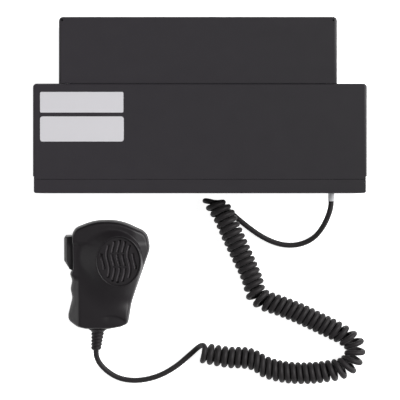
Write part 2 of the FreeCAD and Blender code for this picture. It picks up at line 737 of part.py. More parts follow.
def make_field_connector():
    """Pluggable header on the board whose mouth shows in the rear wall."""
    z = BOARD_Z + BOARD_T
    y1 = BOX_REAR
    body = box(PLUG_X0, PLUG_X0 + PLUG_W, y1 - PLUG_D, y1, z, z + PLUG_H)
    cuts = [box(PLUG_X0 + 1.2, PLUG_X0 + PLUG_W - 1.2, y1 - PLUG_RECESS, y1 + 1, z + 1.2, z + PLUG_H - 1.2)]
    body = body.cut(cuts)
    poles = 6
    pins = []
    for k in range(poles):
        x = PLUG_X0 + PLUG_W * (k + 0.5) / poles
        low, high = z + PLUG_PIN_Z - 0.6, z + PLUG_PIN_Z + 0.6
        pins.append(box(x - 0.6, x + 0.6, y1 - PLUG_RECESS - 1, y1 - 1.5, low, high))
    return fuse([body] + pins)


def make_earth_stud():
    base = V(EARTH_X, EARTH_Y, SHEET)
    return fuse([cyl(base, EARTH_R, EARTH_H), hexagon(base, 2 * EARTH_R, 3.2)])


def inset_outline(corners, inset):
    """Outline drawn in by inset on every side; outer corners tighten and inner ones widen."""
    n = len(corners)
    lines = []
    for i in range(n):
        a, b = corners[i], corners[(i + 1) % n]
        dx, dy = b[0] - a[0], b[1] - a[1]
        length = math.hypot(dx, dy)
        dx, dy = dx / length, dy / length
        lines.append((a[0] - dy * inset, a[1] + dx * inset, dx, dy))
    moved = []
    for i in range(n):
        px, py, ux, uy = lines[i - 1]
        qx, qy, vx, vy = lines[i]
        cross = ux * vy - uy * vx
        s = ((qx - px) * vy - (qy - py) * vx) / cross
        radius = corners[i][2] - inset if cross > 0 else corners[i][2] + inset
        moved.append((px + ux * s, py + uy * s, max(radius, 1.0)))
    return moved


def rounded_wire(corners, z):
    """Closed wire of straight runs joined by tangent arcs."""
    n = len(corners)
    ends = []
    for i in range(n):
        a, b, c = corners[i - 1], corners[i], corners[(i + 1) % n]
        p = V(b[0], b[1], z)
        u = (V(a[0], a[1], z) - p).normalize()
        w = (V(c[0], c[1], z) - p).normalize()
        half = u.getAngle(w) / 2
        reach = b[2] / math.tan(half)
        bisector = (u + w).normalize()
        middle = p + bisector * (b[2] / math.sin(half) - b[2])
        ends.append((p + u * reach, middle, p + w * reach))
    edges = []
    for i in range(n):
        edges.append(Part.Arc(ends[i][0], ends[i][1], ends[i][2]).toShape())
        edges.append(Part.LineSegment(ends[i][2], ends[(i + 1) % n][0]).toShape())
    return Part.Wire(edges)


def mic_solid(levels):
    """Solid through the microphone's outline, drawn in by the given inset at each height."""
    return Part.makeLoft([rounded_wire(inset_outline(MIC_OUTLINE, e), z) for z, e in levels], True, True)


def oval(cx, cy, a, b, z):
    """Closed oval whose long half b lies along Y."""
    ellipse = Part.Ellipse(V(cx, cy + b, z), V(cx + a, cy, z), V(cx, cy, z))
    return Part.Wire([ellipse.toShape()])


def oval_slab(a, b, z0, z1):
    return Part.Face(oval(HEAD_X, HEAD_Y, a, b, z0)).extrude(V(0, 0, z1 - z0))


def lay(shape):
    """Lean the microphone's piece on the stud and the lower edge of the back."""
    turn = FreeCAD.Placement(V(0, MIC_SHIFT_Y, 0), FreeCAD.Rotation(X_AXIS, TILT), V(0, LEAN_Y, 0))
    moved = shape.copy()
    moved.transformShape(turn.toMatrix())
    return moved


def laid_point(point):
    turn = FreeCAD.Placement(V(0, MIC_SHIFT_Y, 0), FreeCAD.Rotation(X_AXIS, TILT), V(0, LEAN_Y, 0))
    return turn.multVec(point)


def bar_slot():
    """Slot in the left wall that the talk bar works in."""
    return box(
        BAR_OUT, BAR_INNER + 1, BAR_FOOT - BAR_FIT, BAR_TOP + BAR_TOP_FIT, BAR_Z0 - BAR_FIT, BAR_Z1 + BAR_FIT,
    )


def pin_post(z0, z1):
    return cyl(V(PIN_X, PIN_Y, z0), PIN_R + 1.6, z1 - z0)


def boot_hole():
    """Stepped hole in the end wall: the collar's seat and the neck's hole."""
    at = V(BOOT_X, MIC_FOOT_Y, BOOT_Z)
    neck = cyl(at - Y_AXIS * 3, BOOT_NECK_R, MIC_WALL + 6, Y_AXIS)
    seat = cyl(at - Y_AXIS * 3, COLLAR_R + FIT / 2, 3 + COLLAR_IN, Y_AXIS)
    return fuse([neck, seat])


def make_front_shell():
    body = mic_solid(FRONT_LEVELS)
    tall = mic_solid([(HEAD_FOOT_Z - 3, 0.9), (HEAD_TOP_Z + 1, 1.6)])
    head = Part.makeLoft([
        oval(HEAD_X + HEAD_FOOT_SHIFT, HEAD_Y, HEAD_FOOT_A, HEAD_FOOT_B, HEAD_FOOT_Z),
        oval(HEAD_X, HEAD_Y, RIM_A, RIM_B, HEAD_TOP_Z),
    ], True, True)
    body = fuse([body, head.common(tall)])
    wall = MIC_WALL
    room = mic_solid([(PART_Z - 1, wall), (22.0, wall + 0.9), (MIC_FRONT_Z - wall, wall + 5.0)])
    cuts = [room, oval_slab(CAVITY_A, CAVITY_B, 20.0, HEAD_TOP_Z)]
    cuts.append(oval_slab(GRILLE_A, GRILLE_B, GRILLE_LOW, HEAD_TOP_Z + 1))
    body = body.cut(cuts)
    posts = [cyl(V(x, y, PART_Z), SHELL_BOSS_R, MIC_FRONT_Z - PART_Z - 1.5) for x, y in SHELL_SCREWS]
    posts.append(pin_post(BAR_Z1 + BAR_FIT, MIC_FRONT_Z - 1.5))
    solid = mic_solid([(PART_Z, 0.6), (22.0, 1.5), (26.4, 3.6), (MIC_FRONT_Z - 0.4, 6.4)])
    body = fuse([body] + [post.common(solid) for post in posts])
    cuts = [cyl(V(x, y, PART_Z - 1), SHELL_SCREW_R, 10.5) for x, y in SHELL_SCREWS]
    cuts.append(cyl(V(PIN_X, PIN_Y, PART_Z), PIN_R, BAR_Z1 + PIN_END - PART_Z))
    cuts += [bar_slot(), boot_hole()]
    return body.cut(cuts)


def mic_post_points():
    inset = MIC_POST_R + 0.6
    return [
        (MIC_BOARD_X0 + inset, MIC_BOARD_Y0 + inset),
        (MIC_BOARD_X1 - inset, MIC_BOARD_Y0 + inset),
        (MIC_BOARD_X1 - inset, MIC_BOARD_Y1 - inset),
    ]


def make_back_shell():
    wall = MIC_WALL
    body = mic_solid(BACK_LEVELS)
    room = mic_solid([(wall, wall + 3.0), (7.0, wall + 0.9), (PART_Z + 1, wall)])
    body = body.cut(room)
    posts = [cyl(V(x, y, 1.0), SHELL_BOSS_R, PART_Z - 1.0) for x, y in SHELL_SCREWS]
    posts += [cyl(V(x, y, 1.0), MIC_POST_R, MIC_BOARD_Z - 1.0) for x, y in mic_post_points()]
    posts.append(pin_post(1.0, BAR_Z0 - BAR_FIT))
    solid = mic_solid([(0.6, 5.0), (7.0, 1.5), (PART_Z, 0.6)])
    body = fuse([body] + [post.common(solid) for post in posts])
    cuts = []
    for x, y in SHELL_SCREWS:
        cuts.append(cyl(V(x, y, -1), SHELL_SCREW_R + 0.1, PART_Z + 2))
        cuts.append(cyl(V(x, y, -1), SHELL_HEAD_R + 0.2, SHELL_HEAD_H + 1.2))
    cuts.append(cyl(V(PIN_X, PIN_Y, BAR_Z0 - PIN_END), PIN_R, PIN_END))
    cuts.append(cyl(V(STUD_X, STUD_Y, -1), STUD_NECK_R, MIC_WALL + 2))
    cuts += [bar_slot(), boot_hole()]
    return body.cut(cuts)


def slot_solid(x, y0, y1, z0, z1):
    """Wavy slot round the line x, from y0 to y1 below the middle of the grille."""
    steps = max(2, int(round((y1 - y0) / (WAVE_L / 8))))
    left, right = [], []
    for k in range(steps + 1):
        y = y0 + (y1 - y0) * k / steps
        swing = WAVE * math.cos(2 * math.pi * (y - 20.0) / WAVE_L)
        left.append(V(HEAD_X + x + swing - SLOT_W / 2, HEAD_Y + y, z0))
        right.append(V(HEAD_X + x + swing + SLOT_W / 2, HEAD_Y + y, z0))
    sides = []
    for points in (left, right):
        curve = Part.BSplineCurve()
        curve.interpolate(points)
        sides.append(curve.toShape())
    ends = [Part.LineSegment(left[0], right[0]).toShape(), Part.LineSegment(right[-1], left[-1]).toShape()]
    wire = Part.Wire(Part.__sortEdges__(sides + ends))
    return Part.Face(wire).extrude(V(0, 0, z1 - z0))


def make_grille():
    """Oval plate with wavy upright slots; two rows of small bridges cross the middle ones."""
    plate = oval_slab(GRILLE_A - GRILLE_FIT, GRILLE_B - GRILLE_FIT, GRILLE_LOW, GRILLE_TOP)
    a, b = GRILLE_A - SLOT_MARGIN, GRILLE_B - SLOT_MARGIN
    middle = (SLOTS - 1) / 2
    slots = []
    for k in range(SLOTS):
        x = (k - middle) * SLOT_PITCH
        reach = abs(x) + SLOT_W / 2 + WAVE / 2
        y = b * math.sqrt(max(0.0, 1 - (reach / a) ** 2))
        spans = [(-y, y)]
        if abs(k - middle) < 2:
            high, low = BRIDGE_Y
            gap = BRIDGE_W / 2
            spans = [(-y, low - gap), (low + gap, high - gap), (high + gap, y)]
        for y0, y1 in spans:
            slots.append(slot_solid(x, y0, y1, GRILLE_LOW - 1, GRILLE_TOP + 1))
    return plate.cut(slots)


def make_foam():
    return oval_slab(CAVITY_A - GRILLE_FIT, CAVITY_B - GRILLE_FIT, FOAM_LOW, GRILLE_LOW)


def make_capsule_seat():
    seat = oval_slab(CAVITY_A - GRILLE_FIT, CAVITY_B - GRILLE_FIT, SEAT_LOW, FOAM_LOW)
    return seat.cut(cyl(V(HEAD_X, HEAD_Y, SEAT_LOW - 1), CAPSULE_R, SEAT_T + 2))


def make_capsule():
    can = cyl(V(HEAD_X, HEAD_Y, FOAM_LOW - CAPSULE_H), CAPSULE_R, CAPSULE_H)
    return can.makeChamfer(0.6, [e for e in can.Edges if near(e.BoundBox.ZMax, FOAM_LOW - CAPSULE_H)])


def make_talk_bar():
    """Side bar with a chamfered foot, a lip behind the wall at its top and a barrel for its pin."""
    wall_in = MIC_OUTLINE[0][0] + MIC_WALL
    outline = [
        V(BAR_OUT, BAR_TOP - 2.0, BAR_Z0),
        V(BAR_OUT, BAR_FOOT + 9.0, BAR_Z0),
        V(BAR_OUT + 5.2, BAR_FOOT + 1.4, BAR_Z0),
        V(BAR_OUT + 8.0, BAR_FOOT, BAR_Z0),
        V(PIN_X, BAR_FOOT, BAR_Z0),
        V(BAR_INNER, BAR_FOOT + 3.0, BAR_Z0),
        V(BAR_INNER, BAR_TOP + BAR_LIP, BAR_Z0),
        V(wall_in + LIP_SETBACK, BAR_TOP + BAR_LIP, BAR_Z0),
        V(wall_in + LIP_SETBACK, BAR_TOP, BAR_Z0),
        V(BAR_OUT + 1.2, BAR_TOP, BAR_Z0),
    ]
    bar = Part.Face(Part.makePolygon(outline + [outline[0]])).extrude(V(0, 0, BAR_Z1 - BAR_Z0))
    bar = fillet_where(bar, 0.9, lambda m, t: near(m.x, BAR_OUT) and near(abs(t.y), 1))
    return bar.cut(cyl(V(PIN_X, PIN_Y, BAR_Z0 - 1), PIN_R + PIN_FIT, BAR_Z1 - BAR_Z0 + 2))


def make_talk_pin():
    return cyl(V(PIN_X, PIN_Y, BAR_Z0 - PIN_END), PIN_R, BAR_Z1 - BAR_Z0 + 2 * PIN_END)


def switch_box():
    dx, dy, dz = SWITCH
    z = MIC_BOARD_Z + BOARD_T
    x0 = BAR_INNER + PLUNGER_GAP + PLUNGER_OUT
    return x0, x0 + dx, PLUNGER_Y - dy / 2, PLUNGER_Y + dy / 2, z, z + dz


def make_talk_switch():
    x0, x1, y0, y1, z0, z1 = switch_box()
    body = box(x0, x1, y0, y1, z0, z1)
    body = fillet_where(body, 0.8, lambda m, t: near(abs(t.z), 1))
    bore = cyl(V(x0 - 1, PLUNGER_Y, (z0 + z1) / 2), PLUNGER_R + PLUNGER_FIT, 7.0, X_AXIS)
    return body.cut(bore)


def make_plunger():
    x0, _, _, _, z0, z1 = switch_box()
    return cyl(V(x0 - PLUNGER_OUT, PLUNGER_Y, (z0 + z1) / 2), PLUNGER_R, PLUNGER_OUT + 4.0, X_AXIS)


def make_mic_board():
    z = MIC_BOARD_Z
    board = rounded_slab(MIC_BOARD_X0, MIC_BOARD_X1, MIC_BOARD_Y0, MIC_BOARD_Y1, z, z + BOARD_T, 2.0)
    notch = cyl(V(PIN_X, PIN_Y, z - 1), PIN_R + 2.2, BOARD_T + 2)
    return board.cut([notch] + [cyl(V(x, y, z - 1), SHELL_BOSS_R + 0.4, BOARD_T + 2) for x, y in SHELL_SCREWS])


def make_shell_screws():
    screws = []
    for x, y in SHELL_SCREWS:
        head = cyl(V(x, y, 0.2), SHELL_HEAD_R, SHELL_HEAD_H)
        screws.append(fuse([head, cyl(V(x, y, 0.2), SHELL_SCREW_R, PART_Z + 8.0)]))
    return Part.makeCompound(screws)


def make_hangup_stud():
    at = V(STUD_X, STUD_Y, 0)
    head = cyl(at - Z_AXIS * STUD_H, STUD_HEAD_R, STUD_HEAD_T)
    head = head.makeChamfer(0.5, [e for e in head.Edges if near(e.BoundBox.ZMin, STUD_HEAD_T - STUD_H)])
    neck = cyl(at - Z_AXIS * (STUD_H - STUD_HEAD_T), STUD_NECK_R, STUD_H - STUD_HEAD_T + MIC_WALL)
    rivet = cyl(at + Z_AXIS * MIC_WALL, STUD_NECK_R + 1.8, 1.2)
    return fuse([head, neck, rivet])


def make_cord_boot():
    """Boot with a collar let into the end wall, a flange inside it and a ribbed, tapered sleeve that leans."""
    y_in = MIC_WALL + BACK_LEVELS[2][1] + FIT
    profile = [(0.0, y_in + 1.8), (BOOT_FLANGE_R, y_in + 1.8), (BOOT_FLANGE_R, y_in), (BOOT_NECK_R, y_in)]
    profile += [(BOOT_NECK_R, COLLAR_IN), (COLLAR_R, COLLAR_IN), (COLLAR_R, -COLLAR_L)]
    profile += [(BOOT_R0 + 1.2, -COLLAR_L - 2.2), (0.0, -COLLAR_L - 2.2)]
    start = COLLAR_L + 2.9
    pitch = (BOOT_L - start) / BOOT_RIBS
    sleeve = [(0.0, 0.0), (BOOT_R0, 0.0), (BOOT_R0, -start)]
    for k in range(BOOT_RIBS):
        d = start + k * pitch
        core = BOOT_R0 + (BOOT_R1 - BOOT_R0) * (k + 0.5) / BOOT_RIBS
        sleeve += [(core + RIB_UP, -d - pitch * 0.22), (core + RIB_UP, -d - pitch * 0.62)]
        sleeve += [(core, -d - pitch * 0.8), (core, -d - pitch)]
    sleeve.append((0.0, -BOOT_L))
    solids = []
    for outline in (profile, sleeve):
        points = [V(r, y, 0) for r, y in outline]
        face = Part.Face(Part.makePolygon(points + [points[0]]))
        solids.append(face.revolve(V(0, 0, 0), Y_AXIS, 360))
    solids[0].translate(V(BOOT_X, MIC_FOOT_Y, BOOT_Z))
    solids[1].rotate(V(0, 0, 0), Z_AXIS, -BOOT_LEAN)
    solids[1].translate(V(BOOT_X, MIC_FOOT_Y, BOOT_Z))
    return fuse(solids)


def boot_end():
    """Middle of the boot's outer end and the direction in which the cord leaves it."""
    lean = math.radians(BOOT_LEAN)
    away = V(-math.sin(lean), -math.cos(lean), 0)
    base = V(BOOT_X, MIC_FOOT_Y, BOOT_Z)
    return laid_point(base + away * BOOT_L)


def make_cord_clamp():
    """Strap over the cord's end inside the lower end of the microphone."""
    y = MIC_FOOT_Y + MIC_WALL + 4.5
    z = BOOT_Z
    strap = box(BOOT_X - 8, BOOT_X + 8, y, y + 7, MIC_WALL, z + CORD_R + 2)
    return strap.cut(cyl(V(BOOT_X, y - 1, z), CORD_R, 9, Y_AXIS))


def arc_through(p0, along, p1):
    """Edge from p0, leaving it along the given direction, to p1, and its radius."""
    chord = p1 - p0
    length = chord.Length
    unit = chord * (1 / length)
    cosine = max(-1.0, min(1.0, along.dot(unit)))
    angle = math.acos(cosine)
    if angle < 1e-5:
        return Part.LineSegment(p0, p1).toShape(), math.inf
    side = (along - unit * cosine).normalize()
    middle = p0 + chord * 0.5 + side * (length / 2 * math.tan(angle / 2))
    return Part.Arc(p0, middle, p1).toShape(), length / 2 / math.sin(angle)


def biarc(p0, t0, p1, t1):
    """Two tangent arcs from p0 along t0 to p1 along t1."""
    v = p1 - p0
    both = t0 + t1
    spread = 2 * (1 - t0.dot(t1))
    if spread < 1e-9:
        d = v.dot(v) / (4 * v.dot(t1))
    else:
        d = (math.sqrt(v.dot(both) ** 2 + spread * v.dot(v)) - v.dot(both)) / spread
    q0, q1 = p0 + t0 * d, p1 - t1 * d
    middle = (q0 + q1) * 0.5
    return [arc_through(p0, t0, middle), arc_through(middle, (q1 - q0).normalize(), p1)]


def corner_pieces(points):
    """Straight runs and tangent arcs along a route: each arc takes 0.45 of the shorter run at its corner."""
    pieces = []
    start = points[0]
    for i in range(1, len(points) - 1):
        a, b, c = points[i - 1], points[i], points[i + 1]
        u, w = (b - a).normalize(), (c - b).normalize()
        turn = u.getAngle(w)
        reach = 0.45 * min((b - a).Length, (c - b).Length)
        pieces.append(("run", start, b - u * reach, u))
        pieces.append(("arc", b - u * reach, b + w * reach, u, w, reach / math.tan(turn / 2), turn))
        start = b + w * reach
    pieces.append(("run", start, points[-1], (points[-1] - points[-2]).normalize()))
    return pieces


def cord_section(at, along, radius, sides=CORD_SIDES):
    """Closed section of the cord, square to the direction of travel, with a flat side down."""
    right = along.cross(Z_AXIS).normalize()
    up = right.cross(along).normalize()
    ring = []
    for k in range(sides):
        angle = 2 * math.pi * (k + 0.5) / sides + math.pi / 2
        ring.append(at + right * (radius * math.cos(angle)) + up * (radius * math.sin(angle)))
    return Part.makePolygon(ring + [ring[0]])


def sweep(edges, at, along, radius, name):
    """Solid of the cord's section along tangent edges; its volume is compared with section times length."""
    wire = Part.Wire(edges)
    shell = Part.BRepOffsetAPI.MakePipeShell(wire)
    shell.add(cord_section(at, along, radius))
    shell.build()
    shell.makeSolid()
    solid = shell.shape()
    area = 0.5 * CORD_SIDES * radius ** 2 * math.sin(2 * math.pi / CORD_SIDES)
    share = solid.Volume / (area * wire.Length)
    print(f"{name}: length {wire.Length:.1f}, volume / (section x length) {share:.4f}")
    return solid


def make_tube(route, radius, name):
    points = [V(*p) for p in route]
    edges = []
    radii = []
    for piece in corner_pieces(points):
        if piece[0] == "run":
            edges.append(Part.LineSegment(piece[1], piece[2]).toShape())
            continue
        edge, bend = arc_through(piece[1], piece[3], piece[2])
        edges.append(edge)
        radii.append(bend)
    print(f"{name}: bend radii " + ", ".join(f"{r:.1f}" for r in radii))
    return sweep(edges, points[0], (points[1] - points[0]).normalize(), radius, name)


class CoilLine:
    """Middle line of the coil as runs and arcs, with the helix that winds round it."""

    STEP = 0.1

    def __init__(self):
        self.pieces = corner_pieces([V(x, y, 0) for x, y, _, _ in COIL_AXIS])
        self.lengths = [
            (p[2] - p[1]).Length if p[0] == "run" else p[5] * p[6]
            for p in self.pieces
        ]
        self.total = sum(self.lengths)
        self.marks = self.route_marks()
        self.count_turns()

    def route_marks(self):
        """Length along the line beside each point of the route, by the share of the runs."""
        runs = [math.dist(a[:2], b[:2]) for a, b in zip(COIL_AXIS, COIL_AXIS[1:])]
        scale = self.total / sum(runs)
        marks = [0.0]
        for run in runs:
            marks.append(marks[-1] + run * scale)
        return marks

    def at(self, s):
        """Point, direction and curvature at length s."""
        for piece, length in zip(self.pieces, self.lengths):
            if s <= length or piece is self.pieces[-1]:
                if piece[0] == "run":
                    return piece[1] + piece[3] * s, piece[3], 0.0
                start, u, w, radius = piece[1], piece[3], piece[4], piece[5]
                side = (w - u * u.dot(w)).normalize()
                angle = s / radius
                point = start + u * (radius * math.sin(angle)) + side * (radius * (1 - math.cos(angle)))
                return point, u * math.cos(angle) + side * math.sin(angle), 1 / radius
            s -= length

    def blend(self, s, column):
        """Value of a column of the route's table at length s, eased between its points."""
        marks = self.marks
        i = 0
        while i < len(marks) - 2 and s > marks[i + 1]:
            i += 1
        f = min(1.0, max(0.0, (s - marks[i]) / (marks[i + 1] - marks[i])))
        f = f * f * (3 - 2 * f)
        return COIL_AXIS[i][column] * (1 - f) + COIL_AXIS[i + 1][column] * f

    def count_turns(self):
        """Turns up to each step: the pitch widens in a bend so that its inside keeps its gap."""
        steps = int(self.total / self.STEP)
        bends = [self.at(k * self.STEP)[2] for k in range(steps + 1)]
        sums = [0.0]
        for bend in bends:
            sums.append(sums[-1] + bend)
        half = int(COIL_SMOOTH / self.STEP)
        even = []
        for k in range(steps + 1):
            a, b = max(0, k - half), min(steps + 1, k + half + 1)
            even.append((sums[b] - sums[a]) / (b - a))
        self.turns = [0.0]
        for k in range(steps):
            s = k * self.STEP
            bend = max(even[max(0, k - half):k + half + 1])
            pitch = max(COIL_PITCH, (CORD_D + COIL_GAP) / (1 - bend * self.blend(s, 3)))
            self.turns.append(self.turns[-1] + self.STEP * math.cos(self.lean(s)) / pitch)
        whole = round(self.turns[-1]) / self.turns[-1]
        self.turns = [turn * whole for turn in self.turns]

    def lean(self, s):
        """Angle that a turn leans back toward the coil's middle; it grows toward the far end."""
        return math.radians(LEAN_END) * max(0.0, 1 - (self.total - s) / LEAN_LENGTH)

    def length_at(self, turn):
        low, high = 0, len(self.turns) - 1
        while high - low > 1:
            mid = (low + high) // 2
            if self.turns[mid] < turn:
                low = mid
            else:
                high = mid
        part = (turn - self.turns[low]) / (self.turns[high] - self.turns[low])
        return (low + part) * self.STEP

    def helix(self, turn):
        """Point of the right-handed helix after so many turns, counted from a turn's bottom."""
        s = self.length_at(turn)
        middle, along, _ = self.at(s)
        radius = self.blend(s, 3)
        left = V(-along.y, along.x, 0)
        lean = self.lean(s)
        sideways = left * math.cos(lean) + along * math.sin(lean)
        angle = 2 * math.pi * turn
        height = radius + CORD_R + self.blend(s, 2) - radius * math.cos(angle)
        point = middle + sideways * (radius * math.sin(angle))
        return V(point.x, point.y, height)

    def direction(self, turn):
        step = 0.002
        return (self.helix(turn + step) - self.helix(turn - step)).normalize()


def make_coil():
    """Curly cord: a straight end, the lead in, the turns, the lead out and a straight end."""
    line = CoilLine()
    first = COIL_FIRST
    last = line.turns[-1] - COIL_LAST
    knots = []
    turn_in = (V(*COIL_START) - V(*TAIL_HOUSING[-2])).normalize()
    turn_out = (V(*TAIL_MIC[-2]) - V(*COIL_END)).normalize()
    start = V(*COIL_START) + turn_in * CORD_D
    end = V(*COIL_END) - turn_out * CORD_D
    knots.append((start, turn_in))
    knots += [(V(*p), V(*t).normalize()) for p, t in LEAD_IN]
    count = int(round(2 * (last - first)))
    for k in range(count + 1):
        turn = first + (last - first) * k / count
        knots.append((line.helix(turn), line.direction(turn)))
    knots += [(V(*p), V(*t).normalize()) for p, t in LEAD_OUT]
    knots.append((end, turn_out))
    edges = [Part.LineSegment(V(*COIL_START), start).toShape()]
    radii = []
    for (p0, t0), (p1, t1) in zip(knots, knots[1:]):
        for edge, radius in biarc(p0, t0, p1, t1):
            edges.append(edge)
            radii.append(radius)
    edges.append(Part.LineSegment(end, V(*COIL_END)).toShape())
    print(f"cord_coil: {last - first:.2f} turns, tightest bend {min(radii):.2f}")
    print(f"cord_coil: least gap to itself {least_gap(edges):.2f}")
    return sweep(edges, V(*COIL_START), turn_in, CORD_R, "cord_coil")


def least_gap(edges):
    """Least gap between stretches of the cord more than two diameters apart along it."""
    points = []
    spacing = 0.8
    travelled = 0.0
    for edge in edges:
        count = max(2, int(edge.Length / spacing) + 1)
        for k, p in enumerate(edge.discretize(count)[:-1]):
            points.append((travelled + edge.Length * k / (count - 1), p))
        travelled += edge.Length
    cell = CORD_D + 1.0
    grid = {}
    for i, (_, p) in enumerate(points):
        grid.setdefault((int(p.x // cell), int(p.y // cell), int(p.z // cell)), []).append(i)
    best = cell
    near_cells = [(a, b, c) for a in (-1, 0, 1) for b in (-1, 0, 1) for c in (-1, 0, 1)]
    for (cx, cy, cz), members in grid.items():
        others = []
        for dx, dy, dz in near_cells:
            others += grid.get((cx + dx, cy + dy, cz + dz), [])
        for i in members:
            s, p = points[i]
            for j in others:
                t, q = points[j]
                if t - s > 2.6 * CORD_D:
                    best = min(best, (p - q).Length)
    return best - CORD_D


def lead_route():
    """The inner lead: from the bushing along the bay, through the grommet and to the terminal block."""
    start = (EXIT_X, FRONT_Y + SHEET + BUSHING_L, EXIT_Z)
    hole = (GROMMET_X, BULK_REAR, GROMMET_Z)
    end = (BOARD_X1, TERMINAL_Y + TERMINAL[1] / 2, BOARD_Z + BOARD_T + TERMINAL[2] / 3)
    route = [start]
    for base, offsets in ((start, LEAD_BAY), (hole, LEAD_GROMMET)):
        route += [tuple(b + o for b, o in zip(base, offset)) for offset in offsets]
    return route + [(end[0] + LEAD_ENTRY, end[1], end[2]), end]


def main():
    tail_mic = [tuple(boot_end())] + TAIL_MIC
    parts = {
        "chassis": make_chassis(),
        "hood": make_hood(),
        "bulkhead": make_bulkhead(),
        "rear_box": make_rear_box(),
        "rear_cover": make_rear_cover(),
        "hood_screws": Part.makeCompound([csk_screw(p, a, SIDE_SCREW_L) for p, a in hood_screw_points()]),
        "cover_screws": Part.makeCompound([csk_screw(p, a, SIDE_SCREW_L) for p, a in cover_screw_points()]),
        "bulkhead_screws": Part.makeCompound([pan_screw(p, Y_AXIS, SIDE_SCREW_L) for p in bulk_screw_points()]),
        "mic_hanger": make_hanger(),
        "hanger_rivets": make_rivets(),
        "cord_bushing": make_bushing(),
        "cord_ferrule": make_ferrule(),
        "lead_grommet": make_grommet(),
        "inner_lead": make_tube(lead_route(), LEAD_R, "inner_lead"),
        "circuit_board": make_board(),
        "board_standoffs": make_standoffs(),
        "board_screws": make_board_screws(),
        "terminal_block": make_terminal_block(),
        "coupling_transformer": make_transformer(),
        "capacitors": make_capacitors(),
        "field_connector": make_field_connector(),
        "earth_stud": make_earth_stud(),
        "mic_front_shell": lay(make_front_shell()),
        "mic_back_shell": lay(make_back_shell()),
        "mic_grille": lay(make_grille()),
        "windscreen_foam": lay(make_foam()),
        "capsule_seat": lay(make_capsule_seat()),
        "mic_capsule": lay(make_capsule()),
        "talk_bar": lay(make_talk_bar()),
        "talk_bar_pin": lay(make_talk_pin()),
        "talk_switch": lay(make_talk_switch()),
        "switch_plunger": lay(make_plunger()),
        "mic_board": lay(make_mic_board()),
        "shell_screws": lay(make_shell_screws()),
        "hangup_stud": lay(make_hangup_stud()),
        "cord_boot": lay(make_cord_boot()),
        "cord_clamp": lay(make_cord_clamp()),
        "cord_tail_housing": make_tube(TAIL_HOUSING, CORD_R, "cord_tail_housing"),
        "cord_coil": make_coil(),
        "cord_tail_mic": make_tube(tail_mic, CORD_R, "cord_tail_mic"),
    }
    for name, spec in LABELS.items():
        parts[name] = make_label(spec)
    os.makedirs("parts", exist_ok=True)
    for name, shape in parts.items():
        shape.exportStep(f"parts/{name}.step")
    pin = laid_point(V(PIN_X, PIN_Y, (BAR_Z0 + BAR_Z1) / 2))
    up = (laid_point(Z_AXIS) - laid_point(V(0, 0, 0))).normalize()
    print(f"talk bar pin at {pin.x:.4f}, {pin.y:.4f}, {pin.z:.4f}, axis {up.x:.6f}, {up.y:.6f}, {up.z:.6f}")
    print(f"boot end at {tuple(round(c, 3) for c in boot_end())}, tilt {TILT:.3f}")
    for name, shape in parts.items():
        if not shape.isValid():
            print(f"not valid: {name}")


main()
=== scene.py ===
import bisect
import bmesh
import bpy
import json
import math
import numpy as np
from mathutils import Matrix, Vector, noise


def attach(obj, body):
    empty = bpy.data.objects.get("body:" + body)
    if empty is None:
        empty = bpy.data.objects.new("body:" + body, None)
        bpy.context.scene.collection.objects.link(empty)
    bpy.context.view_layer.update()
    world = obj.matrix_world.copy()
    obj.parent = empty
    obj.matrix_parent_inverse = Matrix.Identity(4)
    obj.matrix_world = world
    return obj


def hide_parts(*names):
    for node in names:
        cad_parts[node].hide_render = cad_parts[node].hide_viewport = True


# Emergency paging microphone: sheet-steel housing, curly cord and fist microphone.
# The frame is in metres. Sizes below are written in millimetres and multiplied by MM.

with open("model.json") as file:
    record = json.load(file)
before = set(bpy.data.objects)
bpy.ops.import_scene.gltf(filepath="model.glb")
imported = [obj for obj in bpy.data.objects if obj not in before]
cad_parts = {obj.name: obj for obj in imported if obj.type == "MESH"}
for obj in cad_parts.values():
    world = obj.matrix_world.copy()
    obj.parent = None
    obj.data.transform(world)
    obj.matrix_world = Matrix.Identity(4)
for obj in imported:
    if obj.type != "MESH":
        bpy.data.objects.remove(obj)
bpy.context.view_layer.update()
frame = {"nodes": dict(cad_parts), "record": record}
nodes = frame["nodes"]
MM = 0.001


# Camera: straight above the object, with the object's front toward the bottom of the picture
CAMERA_AT = (0.0001, -0.0869, 1.8)
CAMERA_LENS = 171.46
CAMERA_SENSOR = 36.0


def make_camera():
    """The scene's only camera."""
    data = bpy.data.cameras.new("camera")
    data.sensor_width = CAMERA_SENSOR
    data.lens = CAMERA_LENS
    camera = bpy.data.objects.new("camera", data)
    camera.location = CAMERA_AT
    bpy.context.scene.collection.objects.link(camera)
    bpy.context.scene.camera = camera


make_camera()
bpy.context.scene.view_settings.view_transform = "Standard"


# Cord, in millimetres. Its route lists hold control points: x, y, z.
CORD_D = 5.1
CORD_R = CORD_D / 2
BOOT_END = (-97.394, -227.135, 11.217)
TAIL_HOUSING = [
    (122.6, -88.2, 20.0),
    (122.6, -92.2, 20.0),
    (120.6, -100.2, 20.0),
    (115.5, -112.6, 12.3),
    (106.7, -123.8, 4.6),
    (92.5, -129.8, CORD_R),
    (75.6, -129.3, CORD_R),
    (58.4, -121.9, CORD_R),
    (42.6, -110.4, CORD_R),
    (28.8, -98.6, CORD_R),
    (21.3, -93.0, CORD_R),
]
LEAD_IN = [
    (15.0, -90.0, CORD_R),
    (10.2, -88.3, CORD_R),
    (6.2, -87.6, 4.1),
    (4.5, -87.6, 7.9),
    (6.2, -87.9, 11.7),
    (10.2, -88.6, 13.2),
    (14.3, -89.3, 11.6),
    (17.6, -89.3, 10.9),
    (20.8, -88.9, 12.4),
    (22.2, -88.9, 16.2),
    (20.6, -89.9, 20.0),
]
